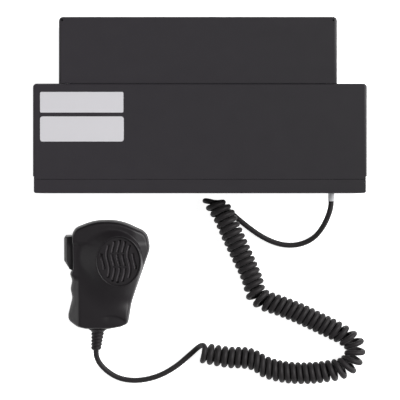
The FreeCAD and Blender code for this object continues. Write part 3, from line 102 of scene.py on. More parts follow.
LEAD_OUT = [
    (3.4, -223.2, 12.0),
    (1.0, -223.6, 8.2),
    (-2.4, -226.3, 4.4),
    (-6.4, -230.1, 2.7),
]
TAIL_MIC = [
    (-10.6, -233.8, CORD_R),
    (-23.5, -245.0, CORD_R),
    (-40.8, -254.2, CORD_R),
    (-60.5, -257.8, CORD_R),
    (-77.8, -255.1, CORD_R),
    (-91.4, -245.3, 4.2),
    (-98.1, -234.2, 9.6),
    BOOT_END,
]
# The coil winds between two side lines: x, y and the number of turns there.
# Outer line, on the left of the way along the coil
COIL_OUTER = [
    (21.3, -88.6, 0.25),
    (28.6, -94.6, 1.6),
    (33.7, -108.4, 4.0),
    (43.6, -130.0, 8.0),
    (52.9, -151.3, 12.0),
    (57.1, -162.2, 14.2),
    (58.1, -170.8, 15.5),
    (64.8, -175.7, 16.7),
    (78.0, -179.7, 19.0),
    (99.2, -188.1, 23.0),
    (119.0, -198.1, 27.0),
    (131.9, -204.2, 29.5),
    (142.7, -210.9, 31.0),
    (152.5, -219.1, 32.3),
    (152.8, -233.6, 33.6),
    (147.3, -245.0, 34.9),
    (135.8, -252.8, 36.2),
    (119.1, -255.4, 38.2),
    (102.9, -257.1, 41.0),
    (84.6, -256.8, 44.0),
    (69.9, -254.3, 46.5),
    (58.5, -250.9, 48.3),
    (51.1, -244.1, 49.8),
    (40.6, -242.1, 51.5),
    (24.8, -242.4, 54.0),
    (2.6, -237.5, 57.25),
]
# Inner line
COIL_INNER = [
    (8.7, -94.3, 0.75),
    (15.8, -104.0, 2.4),
    (21.5, -118.5, 5.0),
    (31.6, -139.7, 9.0),
    (41.6, -160.3, 13.0),
    (44.2, -170.1, 14.8),
    (46.7, -180.8, 16.1),
    (58.3, -188.6, 17.3),
    (71.7, -192.0, 19.5),
    (92.6, -200.4, 23.5),
    (112.5, -210.1, 27.5),
    (126.1, -216.7, 30.3),
    (133.7, -220.9, 31.7),
    (139.3, -225.3, 32.8),
    (138.6, -230.8, 33.8),
    (135.8, -236.2, 34.8),
    (130.4, -238.4, 36.1),
    (115.6, -241.3, 38.5),
    (96.6, -242.8, 42.0),
    (79.2, -241.3, 45.0),
    (67.6, -238.6, 47.2),
    (58.2, -234.1, 48.8),
    (51.6, -229.7, 50.2),
    (40.9, -227.4, 52.0),
    (25.7, -228.1, 54.5),
    (4.5, -223.6, 57.75),
]
COIL_RADIUS = 6.9
COIL_FIRST = 0.5
COIL_LAST = 57.62
COIL_LIFT = 5.0        # where the coil lies on the tail
LIFT_END = (3.5, 9.0)  # turns over which it comes down
STAGGER = 2.2          # inner strands of the tight bend, one up and one down
STAGGER_TURNS = (29.4, 36.5)
SQUEEZE = 0.075        # the jacket gives where strands press on each other
SQUEEZE_TURNS = (28.5, 37.0)
TURN_POINTS = 16
LEAN = (-0.6, 0.4)     # how far ahead of its middle a turn's top lies, before and after the bend
LEAN_TURNS = (33.5, 38.5)
SPREAD = 0.6           # added on each side, so that the strands' outer faces meet the side lines
CURVE_STEPS = 4        # pieces of tube between two control points
SIDE_STEPS = 32        # the same for the side lines


def spline_curve(name, points, bevel, resolution):
    """Curve object with one smooth open spline.

    Each control point is x, y, z in millimetres and maybe a share of the radius.
    """
    curve = bpy.data.curves.new(name, "CURVE")
    curve.dimensions = "3D"
    spline = curve.splines.new("NURBS")
    spline.points.add(len(points) - 1)
    for point, place in zip(spline.points, points):
        point.co = (place[0] * MM, place[1] * MM, place[2] * MM, 1.0)
        point.radius = place[3] if len(place) > 3 else 1.0
    spline.order_u = 3
    spline.use_endpoint_u = True
    spline.resolution_u = resolution
    curve.bevel_depth = bevel * MM
    curve.bevel_resolution = 5
    curve.use_fill_caps = bevel > 0
    piece = bpy.data.objects.new(name, curve)
    bpy.context.scene.collection.objects.link(piece)
    return piece


def spline_line(points):
    """The spline's own line through control points, as a list of points."""
    piece = spline_curve("side_line", points, 0.0, SIDE_STEPS)
    graph = bpy.context.evaluated_depsgraph_get()
    mesh = bpy.data.meshes.new_from_object(piece.evaluated_get(graph))
    line = [v.co / MM for v in mesh.vertices]
    bpy.data.meshes.remove(mesh)
    bpy.data.objects.remove(piece)
    return line


class SideLine:
    """Smooth line on one side of the coil, read by the number of turns."""

    def __init__(self, points):
        self.line = spline_line(points)
        self.turns = [p.z for p in self.line]

    def at(self, turn):
        i = min(max(bisect.bisect_right(self.turns, turn), 1), len(self.line) - 1)
        a, b = self.line[i - 1], self.line[i]
        share = min(1.0, max(0.0, (turn - a.z) / max(b.z - a.z, 1e-9)))
        return a.lerp(b, share).to_2d()


def ease(x, low, high):
    """Smooth step from 0 at low to 1 at high."""
    t = min(1.0, max(0.0, (x - low) / (high - low)))
    return t * t * (3 - 2 * t)


def coil_point(turn, outer, inner):
    """Control point of the right-handed helix after so many turns, counted from a turn's bottom."""
    a, b = outer.at(turn), inner.at(turn)
    reach = 1 / math.cos(math.pi / TURN_POINTS)   # the spline runs inside its control points
    angle = 2 * math.pi * turn
    swing = math.sin(angle)
    half = (a - b) / 2
    half += half.normalized() * SPREAD
    onward = Vector((half.y, -half.x)).normalized()
    lean = LEAN[0] + (LEAN[1] - LEAN[0]) * ease(turn, *LEAN_TURNS)
    place = (a + b) / 2 + half * (reach * swing) - onward * (lean * math.cos(angle))
    height = CORD_R + COIL_LIFT * (1 - ease(turn, *LIFT_END))
    height += COIL_RADIUS * (1 - reach * math.cos(angle))
    squeeze = 1.0
    if STAGGER_TURNS[0] < turn < STAGGER_TURNS[1] and swing < 0:
        height += STAGGER * swing * swing * (1 if int(turn) % 2 else -1)
    if SQUEEZE_TURNS[0] < turn < SQUEEZE_TURNS[1] and swing < 0:
        squeeze -= SQUEEZE * abs(swing)
    return (place.x, place.y, max(height, CORD_R), squeeze)


def make_cord():
    """The whole cord in one spline: tail from the housing, coil and tail to the microphone."""
    outer, inner = SideLine(COIL_OUTER), SideLine(COIL_INNER)
    count = round((COIL_LAST - COIL_FIRST) * TURN_POINTS)
    step = (COIL_LAST - COIL_FIRST) / count
    coil = [coil_point(COIL_FIRST + step * k, outer, inner) for k in range(count + 1)]
    points = TAIL_HOUSING + LEAD_IN + coil + LEAD_OUT + TAIL_MIC
    return spline_curve("cord", points, CORD_R, CURVE_STEPS)


# Materials
# Painted light: the housing's paint runs lighter on the left and darker on the right
SIDE_LIGHT_X = (-0.15, 0.15)      # metres, from side to side of the housing
SPECK_EDGES = (0.62, 0.74)  # noise values between which a speck of dust sets in
SPECK_SIZE = 1.7            # size of the specks, times the grain's
DUST = (2.2, 0.01)          # colour of the specks: times the paint's, and added
GLOSS_SIZE = 0.3            # size of the spots of uneven gloss, times the mottle's
GRAIN_DETAIL = 2.0


def new_nodes(name):
    """Material with a node tree: the material, its nodes and its links."""
    material = bpy.data.materials.new(name)
    material.use_nodes = True
    return material, material.node_tree.nodes, material.node_tree.links


def noise_node(tree, links, vector, size, detail=3.0):
    """Noise whose grains have a real size in millimetres."""
    texture = tree.new("ShaderNodeTexNoise")
    texture.inputs["Scale"].default_value = 1.0 / (size * MM)
    texture.inputs["Detail"].default_value = detail
    texture.inputs["Roughness"].default_value = 0.55
    links.new(vector, texture.inputs["Vector"])
    return texture.outputs["Fac"]


def ranged(tree, links, value, target, source=(0.0, 1.0)):
    """A value mapped from the source range to the target range."""
    node = tree.new("ShaderNodeMapRange")
    node.inputs["From Min"].default_value, node.inputs["From Max"].default_value = source
    node.inputs["To Min"].default_value, node.inputs["To Max"].default_value = target
    links.new(value, node.inputs["Value"])
    return node.outputs["Result"]


def mixed(tree, links, share, a, b):
    """Mix of a colour or socket with a colour."""
    mix = tree.new("ShaderNodeMix")
    mix.data_type = "RGBA"
    links.new(share, mix.inputs["Factor"])
    if isinstance(a, bpy.types.NodeSocket):
        links.new(a, mix.inputs["A"])
    else:
        mix.inputs["A"].default_value = [*a, 1.0]
    mix.inputs["B"].default_value = [*b, 1.0]
    return mix.outputs["Result"]


def painted_side_light(tree, links, place, paint, side_light):
    """Painted light: paint made lighter on the housing's left side and darker on its right side, as
    the light falls across it.
    """
    across = tree.new("ShaderNodeSeparateXYZ")
    links.new(place, across.inputs["Vector"])
    share = ranged(tree, links, across.outputs["X"], (1 + side_light, 1 - side_light), SIDE_LIGHT_X)
    lit_paint = tree.new("ShaderNodeVectorMath")
    lit_paint.operation = "SCALE"
    links.new(paint, lit_paint.inputs[0])
    links.new(share, lit_paint.inputs["Scale"])
    return lit_paint.outputs["Vector"]


def finish_material(
    name, color, rough=0.45, metallic=0.0, specular=0.5, coat=0.0, sheen=0.0, mottle=0.08,
    mottle_size=25.0, rough_swing=0.06, grain=0.0, grain_size=0.6, stretch=(1.0, 1.0, 1.0),
    speck=0.0, side_light=0.0,
):
    """Surface with drifting colour, uneven gloss and a fine grain, at real sizes in millimetres."""
    material, tree, links = new_nodes(name)
    shader = tree["Principled BSDF"]
    shader.inputs["Metallic"].default_value = metallic
    shader.inputs["Specular IOR Level"].default_value = specular
    shader.inputs["Coat Weight"].default_value = coat
    shader.inputs["Sheen Weight"].default_value = sheen
    place = tree.new("ShaderNodeTexCoord").outputs["Object"]
    scale = tree.new("ShaderNodeMapping")
    scale.inputs["Scale"].default_value = stretch
    links.new(place, scale.inputs["Vector"])
    vector = scale.outputs["Vector"]

    low = [c * (1 - mottle) for c in color]
    high = [min(1.0, c * (1 + mottle)) for c in color]
    paint = mixed(tree, links, noise_node(tree, links, vector, mottle_size), low, high)
    if speck:
        dots = noise_node(tree, links, vector, grain_size * SPECK_SIZE, GRAIN_DETAIL)
        dust = [min(1.0, c * DUST[0] + DUST[1]) for c in color]
        share = ranged(tree, links, dots, (0.0, speck), SPECK_EDGES)
        paint = mixed(tree, links, share, paint, dust)
    # painted side light: the paint is made lighter on one side and darker on the other
    if side_light:
        paint = painted_side_light(tree, links, place, paint, side_light)
    links.new(paint, shader.inputs["Base Color"])

    drift = noise_node(tree, links, vector, mottle_size * GLOSS_SIZE)
    gloss = ranged(tree, links, drift, (max(0.02, rough - rough_swing), rough + rough_swing))
    links.new(gloss, shader.inputs["Roughness"])
    if grain:
        bump = tree.new("ShaderNodeBump")
        bump.inputs["Strength"].default_value = 1.0
        bump.inputs["Distance"].default_value = grain * MM
        links.new(noise_node(tree, links, vector, grain_size, GRAIN_DETAIL), bump.inputs["Height"])
        links.new(bump.outputs["Normal"], shader.inputs["Normal"])
    return material


# What some finishes share
PAINT = dict(color=(0.0198, 0.0174, 0.0212), specular=0.35, grain=0.02, grain_size=0.9, speck=0.1)
SHELL_PLASTIC = dict(
    color=(0.0126, 0.0106, 0.0124), rough=0.48, specular=0.35, mottle=0.06, grain=0.012,
    grain_size=0.35, speck=0.06,
)
MOULDED = dict(grain=0.006, grain_size=0.3)
LATHED = dict(metallic=1.0, grain=0.008, stretch=(0.1, 0.1, 2))
FINISHES = {
    # the housing's paint carries painted side light, lighter on its left than on its right
    "housing_paint": dict(PAINT, rough=0.5, mottle=0.05, mottle_size=40, side_light=0.25),
    "inner_paint": dict(PAINT, rough=0.55),
    "label_film": dict(
        color=(0.61, 0.60, 0.625), rough=0.42, specular=0.35, mottle=0.015, mottle_size=12,
        grain=0.004, grain_size=0.5,
    ),
    "screw_black": dict(
        color=(0.03, 0.03, 0.033), rough=0.4, metallic=0.6, grain=0.01, grain_size=0.2,
    ),
    "screw_zinc": dict(
        color=(0.55, 0.55, 0.53), rough=0.32, metallic=1.0, grain=0.01, grain_size=0.3,
    ),
    "hanger_steel": dict(
        color=(0.6, 0.6, 0.58), rough=0.34, metallic=1.0, grain=0.01, grain_size=0.5,
        stretch=(1, 0.08, 1),
    ),
    "ferrule_grey": dict(MOULDED, color=(0.86, 0.87, 0.89), rough=0.4, mottle=0.04),
    "bushing_black": dict(color=(0.03, 0.03, 0.03), rough=0.5, grain=0.008, grain_size=0.3),
    "grommet_rubber": dict(color=(0.025, 0.025, 0.025), rough=0.6, grain=0.01, grain_size=0.25),
    "cord_jacket": dict(
        color=(0.0165, 0.0145, 0.0155), rough=0.6, specular=0.25, sheen=0.06, mottle=0.12,
        mottle_size=18, rough_swing=0.08, grain=0.01, grain_size=0.5,
    ),
    "lead_jacket": dict(color=(0.03, 0.03, 0.03), grain=0.008, grain_size=0.4),
    "board_green": dict(
        color=(0.02, 0.12, 0.05), rough=0.3, mottle=0.15, mottle_size=6, grain=0.006,
        grain_size=0.35,
    ),
    "standoff_metal": dict(LATHED, color=(0.7, 0.7, 0.7), rough=0.28, grain_size=0.4),
    "terminal_plastic": dict(MOULDED, color=(0.05, 0.22, 0.1), rough=0.35),
    "transformer_body": dict(
        color=(0.16, 0.13, 0.1), rough=0.4, mottle=0.2, mottle_size=4, grain=0.03, grain_size=0.5,
        stretch=(0.05, 1, 1),
    ),
    "capacitor_can": dict(color=(0.06, 0.07, 0.14), rough=0.25, coat=0.4, mottle=0.1),
    "connector_plastic": dict(MOULDED, color=(0.03, 0.03, 0.03), rough=0.3),
    "earth_brass": dict(LATHED, color=(0.72, 0.52, 0.22), rough=0.25, grain_size=0.3),
    "mic_plastic": dict(SHELL_PLASTIC, mottle_size=30),
    "mic_back_plastic": SHELL_PLASTIC,
    "grille_metal": dict(
        color=(0.0165, 0.0145, 0.0162), specular=0.3, mottle=0.1, mottle_size=5, grain=0.008,
        grain_size=0.25,
    ),
    "foam_dark": dict(
        color=(0.11, 0.10, 0.108), rough=0.95, specular=0.1, mottle=0.4, mottle_size=0.9, grain=0.3,
        grain_size=0.7,
    ),
    "seat_rubber": dict(color=(0.03, 0.03, 0.03), rough=0.6, grain=0.01, grain_size=0.3),
    "capsule_metal": dict(MOULDED, color=(0.7, 0.7, 0.7), rough=0.35, metallic=1.0),
    "bar_plastic": dict(color=(0.019, 0.0175, 0.019), rough=0.42, grain=0.012, grain_size=0.35),
    "pin_steel": dict(color=(0.6, 0.6, 0.6), rough=0.2, metallic=1.0, grain=0.004, grain_size=0.2),
    "switch_plastic": dict(MOULDED, color=(0.04, 0.04, 0.04), rough=0.35),
    "plunger_plastic": dict(MOULDED, color=(0.5, 0.05, 0.04), rough=0.35),
    "stud_steel": dict(
        color=(0.75, 0.75, 0.75), rough=0.14, metallic=1.0, grain=0.003, grain_size=0.3,
    ),
    "boot_rubber": dict(
        color=(0.0145, 0.0125, 0.014), rough=0.6, specular=0.25, grain=0.012, grain_size=0.3,
    ),
}


# Stage, in metres
FLOOR_HALF = 3.0
FLOOR_Z = -0.0003      # just under the lowest pieces
FLOOR_COLOR = (0.86, 0.86, 0.86, 1)
FLOOR_GLOW = 0.9       # seen directly and in reflections, so that the floor comes out white
SKY = [(0.05, (0.36, 0.36, 0.365)), (0.75, (0.15, 0.15, 0.152))]   # height and colour
# Lamps: name, place, width, height and power in watts. All face the middle of the object.
LAMPS = [
    ("key_box", (4.4, 1.2, 4.2), 2.8, 2.8, 510),
    ("left_box", (-3.0, -0.3, 0.8), 2.0, 1.4, 20),
]
LAMP_AIM = Vector((0, -0.09, 0))


def make_floor():
    """White floor that takes the object's shadow."""
    mesh = bpy.data.meshes.new("floor")
    square = ((-1, -1), (1, -1), (1, 1), (-1, 1))
    corners = [(x * FLOOR_HALF, y * FLOOR_HALF, FLOOR_Z) for x, y in square]
    mesh.from_pydata(corners, [], [(0, 1, 2, 3)])
    floor = bpy.data.objects.new("floor", mesh)
    bpy.context.scene.collection.objects.link(floor)
    material, tree, links = new_nodes("floor_white")
    shader = tree["Principled BSDF"]
    shader.inputs["Base Color"].default_value = FLOOR_COLOR
    shader.inputs["Roughness"].default_value = 0.9
    shader.inputs["Specular IOR Level"].default_value = 0.0
    shader.inputs["Emission Color"].default_value = (1, 1, 1, 1)
    rays = tree.new("ShaderNodeLightPath")
    kinds = ("Is Camera Ray", "Is Glossy Ray", "Is Transmission Ray")
    seen = largest(tree, links, [rays.outputs[kind] for kind in kinds])
    glow = tree.new("ShaderNodeMath")
    glow.operation = "MULTIPLY"
    glow.inputs[1].default_value = FLOOR_GLOW
    links.new(seen, glow.inputs[0])
    links.new(glow.outputs["Value"], shader.inputs["Emission Strength"])
    floor.data.materials.append(material)


def largest(tree, links, sockets):
    """The largest of several values."""
    top = sockets[0]
    for socket in sockets[1:]:
        node = tree.new("ShaderNodeMath")
        node.operation = "MAXIMUM"
        links.new(top, node.inputs[0])
        links.new(socket, node.inputs[1])
        top = node.outputs["Value"]
    return top


def make_world():
    """Soft surround: pale at the horizon and dimmer overhead."""
    world = bpy.data.worlds.new("studio")
    bpy.context.scene.world = world
    world.use_nodes = True
    tree, links = world.node_tree.nodes, world.node_tree.links
    place = tree.new("ShaderNodeTexCoord")
    parts = tree.new("ShaderNodeSeparateXYZ")
    ramp = tree.new("ShaderNodeValToRGB")
    for element, (height, color) in zip(ramp.color_ramp.elements, SKY):
        element.position = height
        element.color = (*color, 1)
    links.new(place.outputs["Generated"], parts.inputs["Vector"])
    links.new(parts.outputs["Z"], ramp.inputs["Fac"])
    links.new(ramp.outputs["Color"], tree["Background"].inputs["Color"])


def soft_box(name, place, width, height, power):
    """Area lamp, in metres and watts."""
    data = bpy.data.lights.new(name, "AREA")
    data.shape = "RECTANGLE"
    data.size, data.size_y = width, height
    data.energy = power
    lamp = bpy.data.objects.new(name, data)
    lamp.location = place
    lamp.rotation_euler = (LAMP_AIM - Vector(place)).to_track_quat("-Z", "Y").to_euler()
    bpy.context.scene.collection.objects.link(lamp)


# Dressing of the CAD pieces: bevel in millimetres
BEVELS = {
    "chassis": 0.25, "hood": 0.25, "bulkhead": 0.2, "rear_box": 0.2, "rear_cover": 0.25,
    "talk_bar": 0.5, "mic_hanger": 0.25, "cord_bushing": 0.3, "terminal_block": 0.3,
    "coupling_transformer": 0.3, "field_connector": 0.2, "talk_switch": 0.2, "label_upper": 0.05,
    "label_lower": 0.05, "mic_grille": 0.4, "cord_ferrule": 0.3,
}


def round_edges(piece, width, segments, angle):
    """Bevel on every edge sharper than an angle in degrees."""
    bevel = piece.modifiers.new("edges", "BEVEL")
    bevel.width = width * MM
    bevel.segments = segments
    bevel.limit_method = "ANGLE"
    bevel.angle_limit = math.radians(angle)
    bevel.harden_normals = True


def dress(node, material, bevel):
    """Material, and rounded edges where the piece has any, on a CAD piece."""
    piece = nodes[node]
    if not piece.material_slots:
        piece.data.materials.append(material)
    for slot in piece.material_slots:
        slot.material = material
    if bevel:
        weld = piece.modifiers.new("weld", "WELD")
        weld.merge_threshold = 1e-6
        round_edges(piece, bevel, segments=2, angle=35)


# Microphone, in millimetres, drawn lying flat with its back at z = 0.
# Corners of the outline at the parting line, counterclockwise from the top left: x, y, radius.
MIC_FOOT_Y = -207.2
MIC_OUTLINE = [
    (-119.1, -113.8, 9.5),
    (-118.4, -150.5, 4.0),
    (-121.2, -155.0, 3.0),
    (-119.3, -161.9, 8.0),
    (-120.9, -169.7, 9.0),
    (-119.2, -178.1, 10.0),
    (-123.1, -193.5, 10.0),
    (-123.3, -199.5, 6.0),
    (-115.0, -205.2, 14.0),
    (-106.5, MIC_FOOT_Y, 14.0),
    (-84.5, MIC_FOOT_Y, 14.0),
    (-74.0, -205.3, 12.0),
    (-67.0, -202.4, 5.0),
    (-63.9, -183.0, 60.0),
    (-58.8, -168.0, 100.0),
    (-46.4, -132.0, 15.0),
    (-48.8, -117.2, 12.0),
    (-74.0, -105.5, 50.0),
    (-98.0, -105.5, 50.0),
]
MIC_TILT = math.radians(6.041)
MIC_TILT_Y = -202.2    # lower edge of the back, which it leans on
MIC_SHIFT_Y = 2.1      # puts the leaning microphone where the drawn outline is
PART_Z = 15.0          # parting line of the two shells
FRONT_Z = 28.4         # flat front of the handle
SHELL_T = 2.0
SEAM = 0.3
EDGE_W = 3.4           # width of the rounded front edge
EDGE_POWER = 2.7
BACK_EDGE_W = 5.0
INSET = 5.0            # depth of the zone in which the rings of points follow the outline
INSET_REACH = 0.35     # largest share of the way to the oval that the zone takes
CROWDING = 2.2         # power that draws the zone's rings toward the outline
ARC_STEPS = 6
RUN_STEP = 2.4
FRONT_RINGS = (72, 12)  # rings of points between the zone and the oval, and in the zone
INNER_RINGS = (16, 8)
BACK_RINGS = (14, 12)
BACK_OVAL = (6.0, 6.0)
SKIN_MIN = 0.01        # the inner skin stays this far over the parting line
# Head, with half widths of ovals across and along the microphone
HEAD = Vector((-75.2, -142.0))
HEAD_TOP = 33.9
HEAD_FOOT_Z = 23.5
HEAD_FOOT = (-84.7, 32.2, 32.4)  # the ramp's foot: x of its middle and half widths
HEAD_FOOT_SOUTH = 47.0  # the ramp runs out longer toward the handle
HEAD_SHARES = (-0.6, 1.3)  # from below the foot to above the rim
HEAD_STEPS = 24        # halvings in the search for a point's share
RIM = (21.0, 23.7)
RIM_MEAN = 22          # about the rim's radius
RIM_T = 1.2
GRILLE_LOW = 31.4
LEDGE = 2.8
# The rim's inner side: what to add to its half widths, and height
RIM_PROFILE = [
    (0.05, HEAD_TOP + 0.25),
    (-0.3, HEAD_TOP + 0.45),
    (-0.65, HEAD_TOP + 0.45),
    (-1.0, HEAD_TOP + 0.2),
    (-RIM_T, HEAD_TOP - 0.4),
    (-RIM_T, GRILLE_LOW),
    (-RIM_T - LEDGE, GRILLE_LOW),
]
THROAT_Z = 26.9        # lower end of the opening behind the grille
THROAT_SLOPE = 1.2
WALL_FOOT = 18.0       # the ramp can't rise above a steep wall near the outline
WALL_IN = 0.6
WALL_SLOPE = 14.0
WALL_SOFT = 2.0
RAMP_SOFT = (1.6, 3.4)  # softness of the ramp's foot at the cap, and what the handle adds
RAMP_SOFT_FADE = (142.0, 165.0)
# Front's faces. Fades along the microphone are in distances below y = 0.
CAP_Y = -126.6         # front edge of the flat cap above the ramp
CAP_Z = 27.9
CAP_SOFT = 1.7         # half width of the step at the cap's front edge
CAP_SLOPE = 0.6        # from the rim down to the cap
PATCH_Z = 25.2         # foot of the ramp beside the talk bar
PATCH_FADE = (136.0, 172.0)
PATCH_END = (HEAD.x - RIM[0] - 4, HEAD.x - RIM[0] + 6)
LEFT_X = -112.4        # where the handle's left slope begins
LEFT_SLOPE = 0.85
LEFT_SOFT = 1.4
LEFT_FADE = (155.5, 163.0)
FLANK_X = -61.0        # where the slope beside the head begins
FLANK_SLOPE = 0.3
FLANK_SOFT = 3.0
FLANK_FADE = (146.0, 172.0)
SCOOP_X = -84.0        # where the hollow of the right flank begins
SCOOP_SLOPE = 0.26
SCOOP_SOFT = 5.0
SCOOP_FADE = (160.0, 176.0)
SCOOP_RUN = (0.5, 30.0)  # distances from the crease over which it deepens
LEVEL_MIN = 17.5
CREASE = [(-89.5, -195.1), (-79.0, -194.1), (-67.4, -199.6)]
CREASE_DEPTH = 0.7
CREASE_W = 0.6         # half width of the step
CREASE_RUN = 9.0       # how far it takes to fade out toward the foot
CREASE_START = (CREASE[0][0] - 1, CREASE[0][0] + 5)
CREASE_END = (CREASE[2][0] - 3, CREASE[2][0] + 1)
# The front edge is sharper beside the talk bar
BAR_EDGE_W = 1.8
BAR_EDGE_TOP = (116.0, 120.0)
BAR_EDGE_FOOT = (151.0, 156.0)
BAR_EDGE_X = (-108.0, -100.0)
# Openings of the shells
BAR_SLOT = (-127.0, -112.9, -152.5, -119.2, 7.6, 22.4)
BOOT = (-95.4, MIC_FOOT_Y, 14.0)
BOOT_DEPTH = 3.0       # from the collar's inner end to the foot's outline
BOOT_BORE = (4.5, SHELL_T + 8)  # radius and length, as for the other bores
BOOT_SEAT = (9.05, 3.9)
STUD_AT = (-88.0, -139.0)  # where the hang-up stud comes through
STUD_BORE = (3.6, 5)
SHELL_SCREWS = [(-108.5, -116.5), (-57.5, -118.0), (-112.8, -195.2), (-76.0, -196.0)]
SCREW_BORES = [(2.85, 2.9), (1.45, 6)]
CUT_SPARE = 1.0        # how far a tool stands out of the face that it cuts


def inset_outline(corners, inset):
    """Outline drawn in on every side; outer corners tighten and inner ones widen."""
    lines = []
    for a, b in zip(corners, corners[1:] + corners[:1]):
        dx, dy = b[0] - a[0], b[1] - a[1]
        length = math.hypot(dx, dy)
        dx, dy = dx / length, dy / length
        lines.append((a[0] - dy * inset, a[1] + dx * inset, dx, dy))
    moved = []
    for i, corner in enumerate(corners):
        px, py, ux, uy = lines[i - 1]
        qx, qy, vx, vy = lines[i]
        cross = ux * vy - uy * vx
        reach = ((qx - px) * vy - (qy - py) * vx) / cross
        radius = corner[2] - inset if cross > 0 else corner[2] + inset
        moved.append((px + ux * reach, py + uy * reach, max(radius, 1.0)))
    return moved


def outline_ring(inset):
    """Points round the microphone's outline, as many at every inset."""
    corners = inset_outline(MIC_OUTLINE, inset)
    ends = []
    for i, corner in enumerate(corners):
        before, after = corners[i - 1], corners[(i + 1) % len(corners)]
        p = Vector(corner[:2])
        u = (Vector(before[:2]) - p).normalized()
        w = (Vector(after[:2]) - p).normalized()
        half = u.angle(w) / 2
        centre = p + (u + w).normalized() * (corner[2] / math.sin(half))
        reach = corner[2] / math.tan(half)
        ends.append((p + u * reach, p + w * reach, centre))
    ring = []
    for i, (start, end, centre) in enumerate(ends):
        a, b = start - centre, end - centre
        turn = a.angle_signed(b)
        for k in range(ARC_STEPS + 1):
            ring.append(centre + rotated(a, -turn * k / ARC_STEPS))
        following = ends[(i + 1) % len(ends)][0]
        base = math.dist(MIC_OUTLINE[i][:2], MIC_OUTLINE[(i + 1) % len(ends)][:2])
        steps = max(1, round(base / RUN_STEP))
        for k in range(1, steps):
            ring.append(end.lerp(following, k / steps))
    return ring


def rotated(vector, angle):
    """Vector turned in its plane."""
    c, s = math.cos(angle), math.sin(angle)
    return Vector((vector.x * c - vector.y * s, vector.x * s + vector.y * c))


def oval_point(around, axes):
    """Point of an oval round the head's middle, in the direction of another point."""
    away = around - HEAD
    scale = 1 / math.hypot(away.x / axes[0], away.y / axes[1])
    return HEAD + away * scale


def edge_distance(points):
    """Distance of each point from the outline."""
    ring = np.array([tuple(p) for p in outline_ring(0.0)])
    run = np.roll(ring, -1, axis=0) - ring
    length2 = (run ** 2).sum(1)
    best = np.full(len(points), 1e9)
    spots = np.array([tuple(p) for p in points])
    for i in range(len(ring)):
        if length2[i] < 1e-12:
            continue
        t = np.clip(((spots - ring[i]) @ run[i]) / length2[i], 0, 1)
        near = ring[i] + t[:, None] * run[i]
        best = np.minimum(best, np.hypot(*(spots - near).T))
    return best


def soft_max(a, b, k):
    """Larger of two values, rounded over where they are less than k apart."""
    h = max(k - abs(a - b), 0.0) / k
    return max(a, b) + h * h * k / 4


def soft_min(a, b, k):
    """Smaller of two values, rounded over in the same way."""
    return -soft_max(-a, -b, k)


def head_height(p):
    """Height of the ramp that rises from a wide oval foot to the grille's rim."""
    low, high = HEAD_SHARES
    foot_b = HEAD_FOOT[2] if p.y > HEAD.y else HEAD_FOOT_SOUTH
    for _ in range(HEAD_STEPS):
        t = (low + high) / 2
        cx = HEAD_FOOT[0] + (HEAD.x - HEAD_FOOT[0]) * t
        a = HEAD_FOOT[1] + (RIM[0] - HEAD_FOOT[1]) * t
        b = foot_b + (RIM[1] - foot_b) * t
        if ((p.x - cx) / a) ** 2 + ((p.y - HEAD.y) / b) ** 2 < 1:
            low = t
        else:
            high = t
    return HEAD_FOOT_Z + (HEAD_TOP - HEAD_FOOT_Z) * low


def crease_y(x):
    """Place along the microphone of the arc that ends the right flank's hollow."""
    (x0, y0), (x1, y1), (x2, y2) = CREASE
    a = (x - x1) * (x - x2) / ((x0 - x1) * (x0 - x2))
    b = (x - x0) * (x - x2) / ((x1 - x0) * (x1 - x2))
    c = (x - x0) * (x - x1) / ((x2 - x0) * (x2 - x1))
    return a * y0 + b * y1 + c * y2


def cap_share(p):
    """1 on the flat cap at the head's far end, 0 below it."""
    return ease(p.y, CAP_Y - CAP_SOFT, CAP_Y + CAP_SOFT)


def top_level(p):
    """Height of the front's faces: cap, ramp beside the talk bar, handle and its sloping flanks."""
    cap = cap_share(p)
    beside = ease(-p.y, *PATCH_FADE) * (1 - cap) + cap
    level = PATCH_Z + (FRONT_Z - PATCH_Z) * beside
    level += (FRONT_Z - level) * ease(p.x, *PATCH_END)
    level += (CAP_Z - FRONT_Z) * cap
    level -= LEFT_SLOPE * soft_max(0.0, LEFT_X - p.x, LEFT_SOFT) * ease(-p.y, *LEFT_FADE)
    level -= FLANK_SLOPE * soft_max(0.0, p.x - FLANK_X, FLANK_SOFT) * (1 - ease(-p.y, *FLANK_FADE))
    hollow = ease(-p.y, *SCOOP_FADE) * ease(p.y - crease_y(p.x), *SCOOP_RUN)
    level -= SCOOP_SLOPE * soft_max(0.0, p.x - SCOOP_X, SCOOP_SOFT) * hollow
    return max(level, LEVEL_MIN)


def oval_distance(p, axes, scale):
    """How far a point lies outside an oval round the head's middle, about in millimetres."""
    return (math.hypot((p.x - HEAD.x) / axes[0], (p.y - HEAD.y) / axes[1]) - 1) * scale


def edge_height(p, distance, level):
    """Height of the rounded front edge that leads from the parting line to a level."""
    along = ease(-p.y, *BAR_EDGE_TOP) * (1 - ease(-p.y, *BAR_EDGE_FOOT))
    beside_bar = along * (1 - ease(p.x, *BAR_EDGE_X))
    share = min(1.0, distance / (EDGE_W + (BAR_EDGE_W - EDGE_W) * beside_bar))
    low = PART_Z + SEAM
    return low + (level - low) * (1 - (1 - share) ** EDGE_POWER) ** (1 / EDGE_POWER)


def crease_drop(p):
    """Depth of the step along the crease."""
    ends = ease(p.x, *CREASE_START) * (1 - ease(p.x, *CREASE_END))
    behind = p.y - crease_y(p.x)
    step = 1 - ease(behind, -CREASE_W, CREASE_W)
    return CREASE_DEPTH * ends * step * ease(behind, -CREASE_RUN, -CREASE_W)


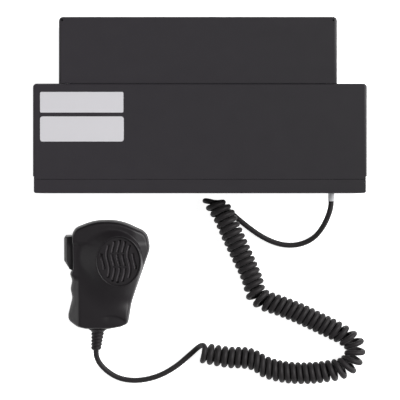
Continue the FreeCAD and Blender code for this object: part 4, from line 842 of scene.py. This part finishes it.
def front_height(p, distance):
    """Height of the front shell's skin over a point at a distance from the outline."""
    cap = cap_share(p)
    edge = edge_height(p, distance, top_level(p))
    ramp = head_height(p)
    rise = HEAD_TOP - CAP_SLOPE * max(0.0, oval_distance(p, RIM, RIM_MEAN))
    ramp = ramp * (1 - cap) + min(ramp, max(rise, CAP_Z)) * cap
    wall = WALL_FOOT + WALL_SLOPE * (distance - WALL_IN)
    soft = RAMP_SOFT[0] + RAMP_SOFT[1] * ease(-p.y, *RAMP_SOFT_FADE)
    skin = soft_max(edge, soft_min(min(ramp, HEAD_TOP), wall, WALL_SOFT), soft)
    return skin - crease_drop(p)


def mesh_piece(name, points, faces, smooth_angle=40):
    """Mesh object from points in millimetres."""
    mesh = bpy.data.meshes.new(name)
    mesh.from_pydata([tuple(c * MM for c in p) for p in points], [], faces)
    mesh.validate()
    piece = bpy.data.objects.new(name, mesh)
    bpy.context.scene.collection.objects.link(piece)
    work = bmesh.new()
    work.from_mesh(mesh)
    bmesh.ops.remove_doubles(work, verts=work.verts, dist=1e-7)
    bmesh.ops.recalc_face_normals(work, faces=work.faces)
    work.to_mesh(mesh)
    work.free()
    smooth_by_angle(piece, smooth_angle)
    return piece


def smooth_by_angle(piece, angle):
    """Smooth shading, with sharp edges where the faces meet at a larger angle in degrees."""
    for polygon in piece.data.polygons:
        polygon.use_smooth = True
    piece.data.set_sharp_from_angle(angle=math.radians(angle))


def ring_faces(rings, count, closed=False):
    """Faces between rings of points, and between the last and the first ring when closed."""
    faces = []
    for k in range(rings if closed else rings - 1):
        a, b = k * count, (k + 1) % rings * count
        for i in range(count):
            j = (i + 1) % count
            faces.append((a + i, a + j, b + j, b + i))
    return faces


def solid_faces(rings, count):
    """Faces between rings of points, with an end face on the first and the last ring."""
    last = (rings - 1) * count
    ends = [tuple(reversed(range(count))), tuple(range(last, last + count))]
    return ring_faces(rings, count) + ends


def circle(sides):
    """Directions round a circle: cosine and sine."""
    angles = [2 * math.pi * k / sides for k in range(sides)]
    return [(math.cos(angle), math.sin(angle)) for angle in angles]


def cylinder_tool(base, axis, radius, length, sides=48):
    """Closed round bar used to cut holes; base and axis in millimetres."""
    axis = Vector(axis).normalized()
    right = axis.orthogonal().normalized()
    up = axis.cross(right)
    points = []
    for end in (0.0, length):
        for c, s in circle(sides):
            points.append(Vector(base) + axis * end + (right * c + up * s) * radius)
    return mesh_piece("cutter", points, solid_faces(2, sides))


def box_tool(x0, x1, y0, y1, z0, z1):
    """Closed box used to cut holes."""
    points = [(x, y, z) for z in (z0, z1) for x, y in ((x0, y0), (x1, y0), (x1, y1), (x0, y1))]
    return mesh_piece("cutter", points, solid_faces(2, 4))


def apply_modifiers(piece):
    """Turn what the modifiers make into the piece's own mesh."""
    graph = bpy.context.evaluated_depsgraph_get()
    mesh = bpy.data.meshes.new_from_object(piece.evaluated_get(graph))
    old = piece.data
    piece.modifiers.clear()
    piece.data = mesh
    bpy.data.meshes.remove(old)


def cut(piece, tools):
    """Cut the tools out of a piece, and delete them."""
    for tool in tools:
        modifier = piece.modifiers.new("cut", "BOOLEAN")
        modifier.operation = "DIFFERENCE"
        modifier.solver = "EXACT"
        modifier.object = tool
    apply_modifiers(piece)
    for tool in tools:
        bpy.data.objects.remove(tool)
    smooth_by_angle(piece, 40)


def give_thickness(piece, thickness):
    """Wall on the inner side of a piece's skin."""
    modifier = piece.modifiers.new("wall", "SOLIDIFY")
    modifier.thickness = thickness * MM
    modifier.offset = -1.0
    modifier.use_even_offset = False
    apply_modifiers(piece)


def lay_down(piece):
    """Lean a piece of the microphone as it lies: on its stud and the lower edge of its back."""
    pivot = Vector((0, MIC_TILT_Y * MM, 0))
    turn = Matrix.Translation(pivot + Vector((0, MIC_SHIFT_Y * MM, 0)))
    turn = turn @ Matrix.Rotation(MIC_TILT, 4, "X") @ Matrix.Translation(-pivot)
    piece.data.transform(turn)
    return piece


def shell_rings(inner_axes, counts, start=0.0):
    """Rings of points from the outline to an oval round the head, close together near the edge."""
    inner_rings, edge_rings = counts
    outer, inset = outline_ring(start), outline_ring(start + INSET)
    rims = [oval_point(p, inner_axes) for p in outer]
    reach = [min(1.0, INSET_REACH * (r - o).length / INSET) for o, r in zip(outer, rims)]
    rings = []
    for k in range(edge_rings + 1):
        share = (k / edge_rings) ** CROWDING
        rings.append([o + (q - o) * (share * c) for o, q, c in zip(outer, inset, reach)])
    zone_end = rings[-1]
    for k in range(1, inner_rings + 1):
        rings.append([a.lerp(b, k / inner_rings) for a, b in zip(zone_end, rims)])
    return rings


def shell_openings():
    """Tools for the openings of both shells: talk bar's slot, cord's bore and boot's seat."""
    x, y, z = BOOT
    inside = (x, y - BOOT_DEPTH, z)
    return [
        box_tool(*BAR_SLOT),
        cylinder_tool(inside, (0, 1, 0), *BOOT_BORE),
        cylinder_tool(inside, (0, 1, 0), *BOOT_SEAT),
    ]


def make_front_shell():
    """Moulded front with its wall: outer skin, rim and ledge for the grille, inner skin."""
    rings = shell_rings(RIM, FRONT_RINGS)
    flat = [p for ring in rings for p in ring]
    points = [(p.x, p.y, PART_Z) for inset in (SHELL_T, SEAM) for p in outline_ring(inset)]
    points += [(p.x, p.y, front_height(p, d)) for p, d in zip(flat, edge_distance(flat))]
    for inset, z in RIM_PROFILE:
        axes = (RIM[0] + inset, RIM[1] + inset)
        points += [(q.x, q.y, z) for q in (oval_point(p, axes) for p in rings[0])]
    throat = (RIM[0] - RIM_T - LEDGE, RIM[1] - RIM_T - LEDGE)
    for ring in reversed(shell_rings(throat, INNER_RINGS, SHELL_T)):
        for p, distance in zip(ring, edge_distance(ring)):
            skin = front_height(p, max(0.0, distance - SHELL_T)) - SHELL_T
            z = min(skin, THROAT_Z + THROAT_SLOPE * max(0.0, oval_distance(p, throat, throat[0])))
            points.append((p.x, p.y, max(PART_Z + SKIN_MIN, z)))
    count = len(rings[0])
    shell = mesh_piece("mic_front_cover", points, ring_faces(len(points) // count, count, True), 32)
    cut(shell, shell_openings())
    return lay_down(shell)


def make_back_shell():
    """Moulded back with rounded edges, its wall, and the holes for stud and screws."""
    rings = shell_rings(BACK_OVAL, BACK_RINGS)
    count = len(rings[0])
    flat = [p for ring in rings for p in ring]
    points = [(p.x, p.y, PART_Z) for p in outline_ring(SEAM)]
    depth = PART_Z - SEAM
    for p, distance in zip(flat, edge_distance(flat)):
        share = min(1.0, distance / BACK_EDGE_W)
        points.append((p.x, p.y, depth - depth * math.sqrt(max(0.0, 1 - (1 - share) ** 2))))
    faces = ring_faces(len(rings) + 1, count)
    last = len(points) - count
    faces.append(tuple(range(last, last + count)))
    shell = mesh_piece("mic_back_cover", points, faces, 32)
    give_thickness(shell, SHELL_T)
    bores = [(STUD_AT, STUD_BORE)]
    bores += [(place, bore) for place in SHELL_SCREWS for bore in SCREW_BORES]
    tools = [cylinder_tool((*place, -CUT_SPARE), (0, 0, 1), *bore) for place, bore in bores]
    cut(shell, shell_openings() + tools)
    return lay_down(shell)


# Screws with cross recesses: place of the head's seat and outward direction
SHELL_SCREW_AT = [((x, y, 2.0), (0, 0, -1)) for x, y in SHELL_SCREWS]
HOOD_HALF = 152.4
HOOD_SCREW_AT = [
    ((side * HOOD_HALF, y, 14.0), (side, 0, 0)) for y in (-50.0, 12.0) for side in (-1, 1)
]
BOX_HALF = 127.15
BOX_X = -1.8
COVER_SCREW_AT = [
    ((side * BOX_HALF + BOX_X, y, 53.5), (side, 0, 0)) for y in (36.0, 68.0) for side in (-1, 1)
]
# Profiles: radius and height over the seat, from the tip to the head's flat
FLAT_HEAD = [(0.8, -6.0), (1.4, -5.4), (1.4, -0.9), (2.84, -0.06), (2.78, -0.02)]
ROUND_HEAD = [
    (0.7, -21.2), (1.25, -20.6), (1.25, 0.0), (2.5, 0.0),
    (2.6, 0.15), (2.6, 1.2), (2.45, 1.55), (2.1, 1.8),
]
CROSS = (1.45, 0.36)   # length and half width of an arm
CROSS_TAPER = [(1.0, 0.0), (0.96, 0.06), (0.5, 0.7)]   # share of the cross and depth
SCREW_SIDES = 48


def cross_reach(angle):
    """Distance from the middle to the outline of the cross."""
    arm, half = CROSS
    t = abs((angle + math.pi / 4) % (math.pi / 2) - math.pi / 4)
    return arm / math.cos(t) if math.tan(t) * arm <= half else half / math.sin(t)


def make_screws(name, places, profile):
    """All screws of one kind in one mesh."""
    ring = circle(SCREW_SIDES)
    reaches = [cross_reach(2 * math.pi * k / SCREW_SIDES) for k in range(SCREW_SIDES)]
    cross = [(c * reach, s * reach) for (c, s), reach in zip(ring, reaches)]
    top = profile[-1][1]
    rows = [[(radius * c, radius * s, height) for c, s in ring] for radius, height in profile]
    for share, depth in CROSS_TAPER:
        rows.append([(x * share, y * share, top - depth) for x, y in cross])
    points, faces = [], []
    for at, outward in places:
        turn = Vector((0, 0, 1)).rotation_difference(Vector(outward))
        base = len(points)
        faces += [tuple(base + i for i in face) for face in solid_faces(len(rows), SCREW_SIDES)]
        points += [tuple(Vector(at) + turn @ Vector(place)) for row in rows for place in row]
    return mesh_piece(name, points, faces, 35)


# Cord boot: profiles of radius and height over the foot's outline
BOOT_LEAN = math.radians(5.5)
BOOT_L = 20.8
BOOT_COLLAR = [
    (4.3, -BOOT_DEPTH),
    (8.9, -BOOT_DEPTH),
    (8.95, -0.9),
    (9.0, 0.6),
    (8.7, 1.3),
    (8.1, 1.75),
    (7.2, 2.3),
    (6.3, 3.2),
    (5.8, 3.9),
]
BOOT_RIBS = 5
BOOT_RIBS_AT = 4.5
BOOT_ROOT = 5.4
BOOT_TIP = 4.1
BOOT_END_PROFILE = [(BOOT_TIP, BOOT_L - 0.25), (BOOT_TIP - 0.3, BOOT_L), (CORD_R, BOOT_L)]
# Rise of a rib over the core and its place within one pitch
BOOT_RIB = [
    (0, 0), (0.1, 0.1), (0.5, 0.2), (0.6, 0.3), (0.6, 0.58), (0.5, 0.68), (0.1, 0.78), (0, 0.88),
]


def turned(name, profile, sides=64):
    """Solid turned from a profile of radius and height, standing at the origin."""
    ring = circle(sides)
    points = [(radius * c, radius * s, height) for radius, height in profile for c, s in ring]
    return mesh_piece(name, points, solid_faces(len(profile), sides), 50)


def make_boot():
    """Collar at the end wall and a ribbed sleeve that tapers and leans along the cord."""
    profile = list(BOOT_COLLAR)
    pitch = (BOOT_L - BOOT_RIBS_AT) / BOOT_RIBS
    for k in range(BOOT_RIBS):
        core = BOOT_ROOT + (BOOT_TIP - BOOT_ROOT) * (k + 0.5) / BOOT_RIBS
        start = BOOT_RIBS_AT + k * pitch
        profile += [(core + rise, start + pitch * along) for rise, along in BOOT_RIB]
    boot = turned("boot", profile + BOOT_END_PROFILE)
    for vertex in boot.data.vertices:
        vertex.co.x -= math.tan(BOOT_LEAN) * max(0.0, vertex.co.z)
    boot.data.transform(Matrix.Rotation(math.pi / 2, 4, "X"))
    boot.data.transform(Matrix.Translation(Vector(BOOT) * MM))
    return lay_down(boot)


# Foam disc under the grille: how far a ring lies in from the edge, and height over the top
FOAM_TOP = 31.4
FOAM_T = 2.0
FOAM_PLAY = 0.1        # between the disc and the opening behind the ledge
FOAM_PROFILE = [
    (0.55, -FOAM_T),
    (0.15, -FOAM_T + 0.2),
    (0.0, -FOAM_T + 0.6),
    (0.0, -0.75),
    (0.2, -0.35),
    (0.7, -0.12),
    (2.0, -0.06),
    (5.0, -0.04),
    (9.0, -0.02),
    (13.0, -0.02),
    (15.5, -0.02),
]
FOAM_SIDES = 72
FOAM_DENT = 0.03
FOAM_DENT_SCALE = 0.9


def make_foam():
    """Round-edged foam disc, a little dented on its open side."""
    inset = RIM_T + LEDGE + FOAM_PLAY
    points = []
    for back, z in FOAM_PROFILE:
        for c, s in circle(FOAM_SIDES):
            x, y = (RIM[0] - inset - back) * c, (RIM[1] - inset - back) * s
            dent = FOAM_DENT * noise.noise(Vector((x, y, z)) * FOAM_DENT_SCALE)
            points.append((HEAD.x + x, HEAD.y + y, FOAM_TOP + z + min(0.0, dent)))
    return lay_down(mesh_piece("foam_disc", points, solid_faces(len(FOAM_PROFILE), FOAM_SIDES), 50))


# Talk bar
BAR_OUT = -126.5
BAR_TOP = -119.9
BAR_FOOT = -152.1
BAR_INNER = -113.9
BAR_LIP = 2.0
BAR_WALL_IN = -115.4   # face of the lip behind the shell's wall
BAR_PIN = (-114.9, -148.6, 1.25)
BAR_LOW, BAR_HIGH = 8.0, 22.0
BAR_SIDE = 2.7         # width of the slanted outer strip
BAR_END_SLOPE = 0.3    # how far the far end draws in with it
BAR_ROUND = 0.45
BAR_OUTLINE = [
    (BAR_OUT, BAR_TOP - 2.0),
    (BAR_OUT, BAR_FOOT + 9.0),
    (BAR_OUT + 5.2, BAR_FOOT + 1.4),
    (BAR_OUT + 8.0, BAR_FOOT),
    (BAR_PIN[0], BAR_FOOT),
    (BAR_INNER, BAR_FOOT + 3.0),
    (BAR_INNER, BAR_TOP + BAR_LIP),
    (BAR_WALL_IN, BAR_TOP + BAR_LIP),
    (BAR_WALL_IN, BAR_TOP),
    (BAR_OUT + 1.2, BAR_TOP),
]
# Height and how far the outer face lies in there
BAR_LEVELS = [
    (BAR_LOW, 1.6),
    (BAR_LOW + 1.6, 0.4),
    (BAR_LOW + 6.0, 0.0),
    (BAR_HIGH - 3.0, 0.0),
    (BAR_HIGH - 1.0, 1.3),
    (BAR_HIGH, BAR_SIDE),
]


def make_talk_bar():
    """Side bar with a slanted outer strip, a chamfered foot and a lip behind the shell's wall."""
    points = []
    for z, inset in BAR_LEVELS:
        end = BAR_TOP - inset * BAR_END_SLOPE
        for x, y in BAR_OUTLINE:
            points.append((max(x, BAR_OUT + inset), min(y, end) if x < BAR_WALL_IN else y, z))
    bar = mesh_piece("talk_bar_cover", points, solid_faces(len(BAR_LEVELS), len(BAR_OUTLINE)), 30)
    x, y, radius = BAR_PIN
    length = BAR_HIGH - BAR_LOW + 2 * CUT_SPARE
    cut(bar, [cylinder_tool((x, y, BAR_LOW - CUT_SPARE), (0, 0, 1), radius, length)])
    round_edges(bar, BAR_ROUND, segments=3, angle=28)
    apply_modifiers(bar)
    return lay_down(bar)


# Assembly
materials = {name: finish_material(name, **finish) for name, finish in FINISHES.items()}
make_floor()
make_world()
for lamp in LAMPS:
    soft_box(*lamp)
slots = {entry["node"]: entry["material_slot"] for entry in frame["record"]["subparts"]}
for node in nodes:
    dress(node, materials[slots[node]], BEVELS.get(node, 0.0))


def add_piece(piece, slot, body, *replaced):
    """Give a piece its material and body, and let it replace CAD pieces."""
    piece.data.materials.clear()
    piece.data.materials.append(materials[slot])
    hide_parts(*replaced)
    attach(piece, body)
    return piece


add_piece(make_front_shell(), "mic_plastic", "body", "mic_front_shell")
add_piece(make_back_shell(), "mic_back_plastic", "body", "mic_back_shell")
add_piece(make_boot(), "boot_rubber", "body", "cord_boot")
foam = add_piece(make_foam(), "foam_dark", "body", "windscreen_foam")
add_piece(make_talk_bar(), "bar_plastic", "talk_bar", "talk_bar")
hood_heads = make_screws("hood_screw_heads", HOOD_SCREW_AT, FLAT_HEAD)
add_piece(hood_heads, slots["hood_screws"], "body", "hood_screws")
cover_heads = make_screws("cover_screw_heads", COVER_SCREW_AT, FLAT_HEAD)
add_piece(cover_heads, slots["cover_screws"], "body", "cover_screws")
shell_heads = lay_down(make_screws("shell_screw_heads", SHELL_SCREW_AT, ROUND_HEAD))
add_piece(shell_heads, slots["shell_screws"], "body", "shell_screws")
cord = make_cord()
cord.data.materials.append(materials["cord_jacket"])
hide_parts("cord_tail_housing", "cord_coil", "cord_tail_mic")
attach(cord, "body")
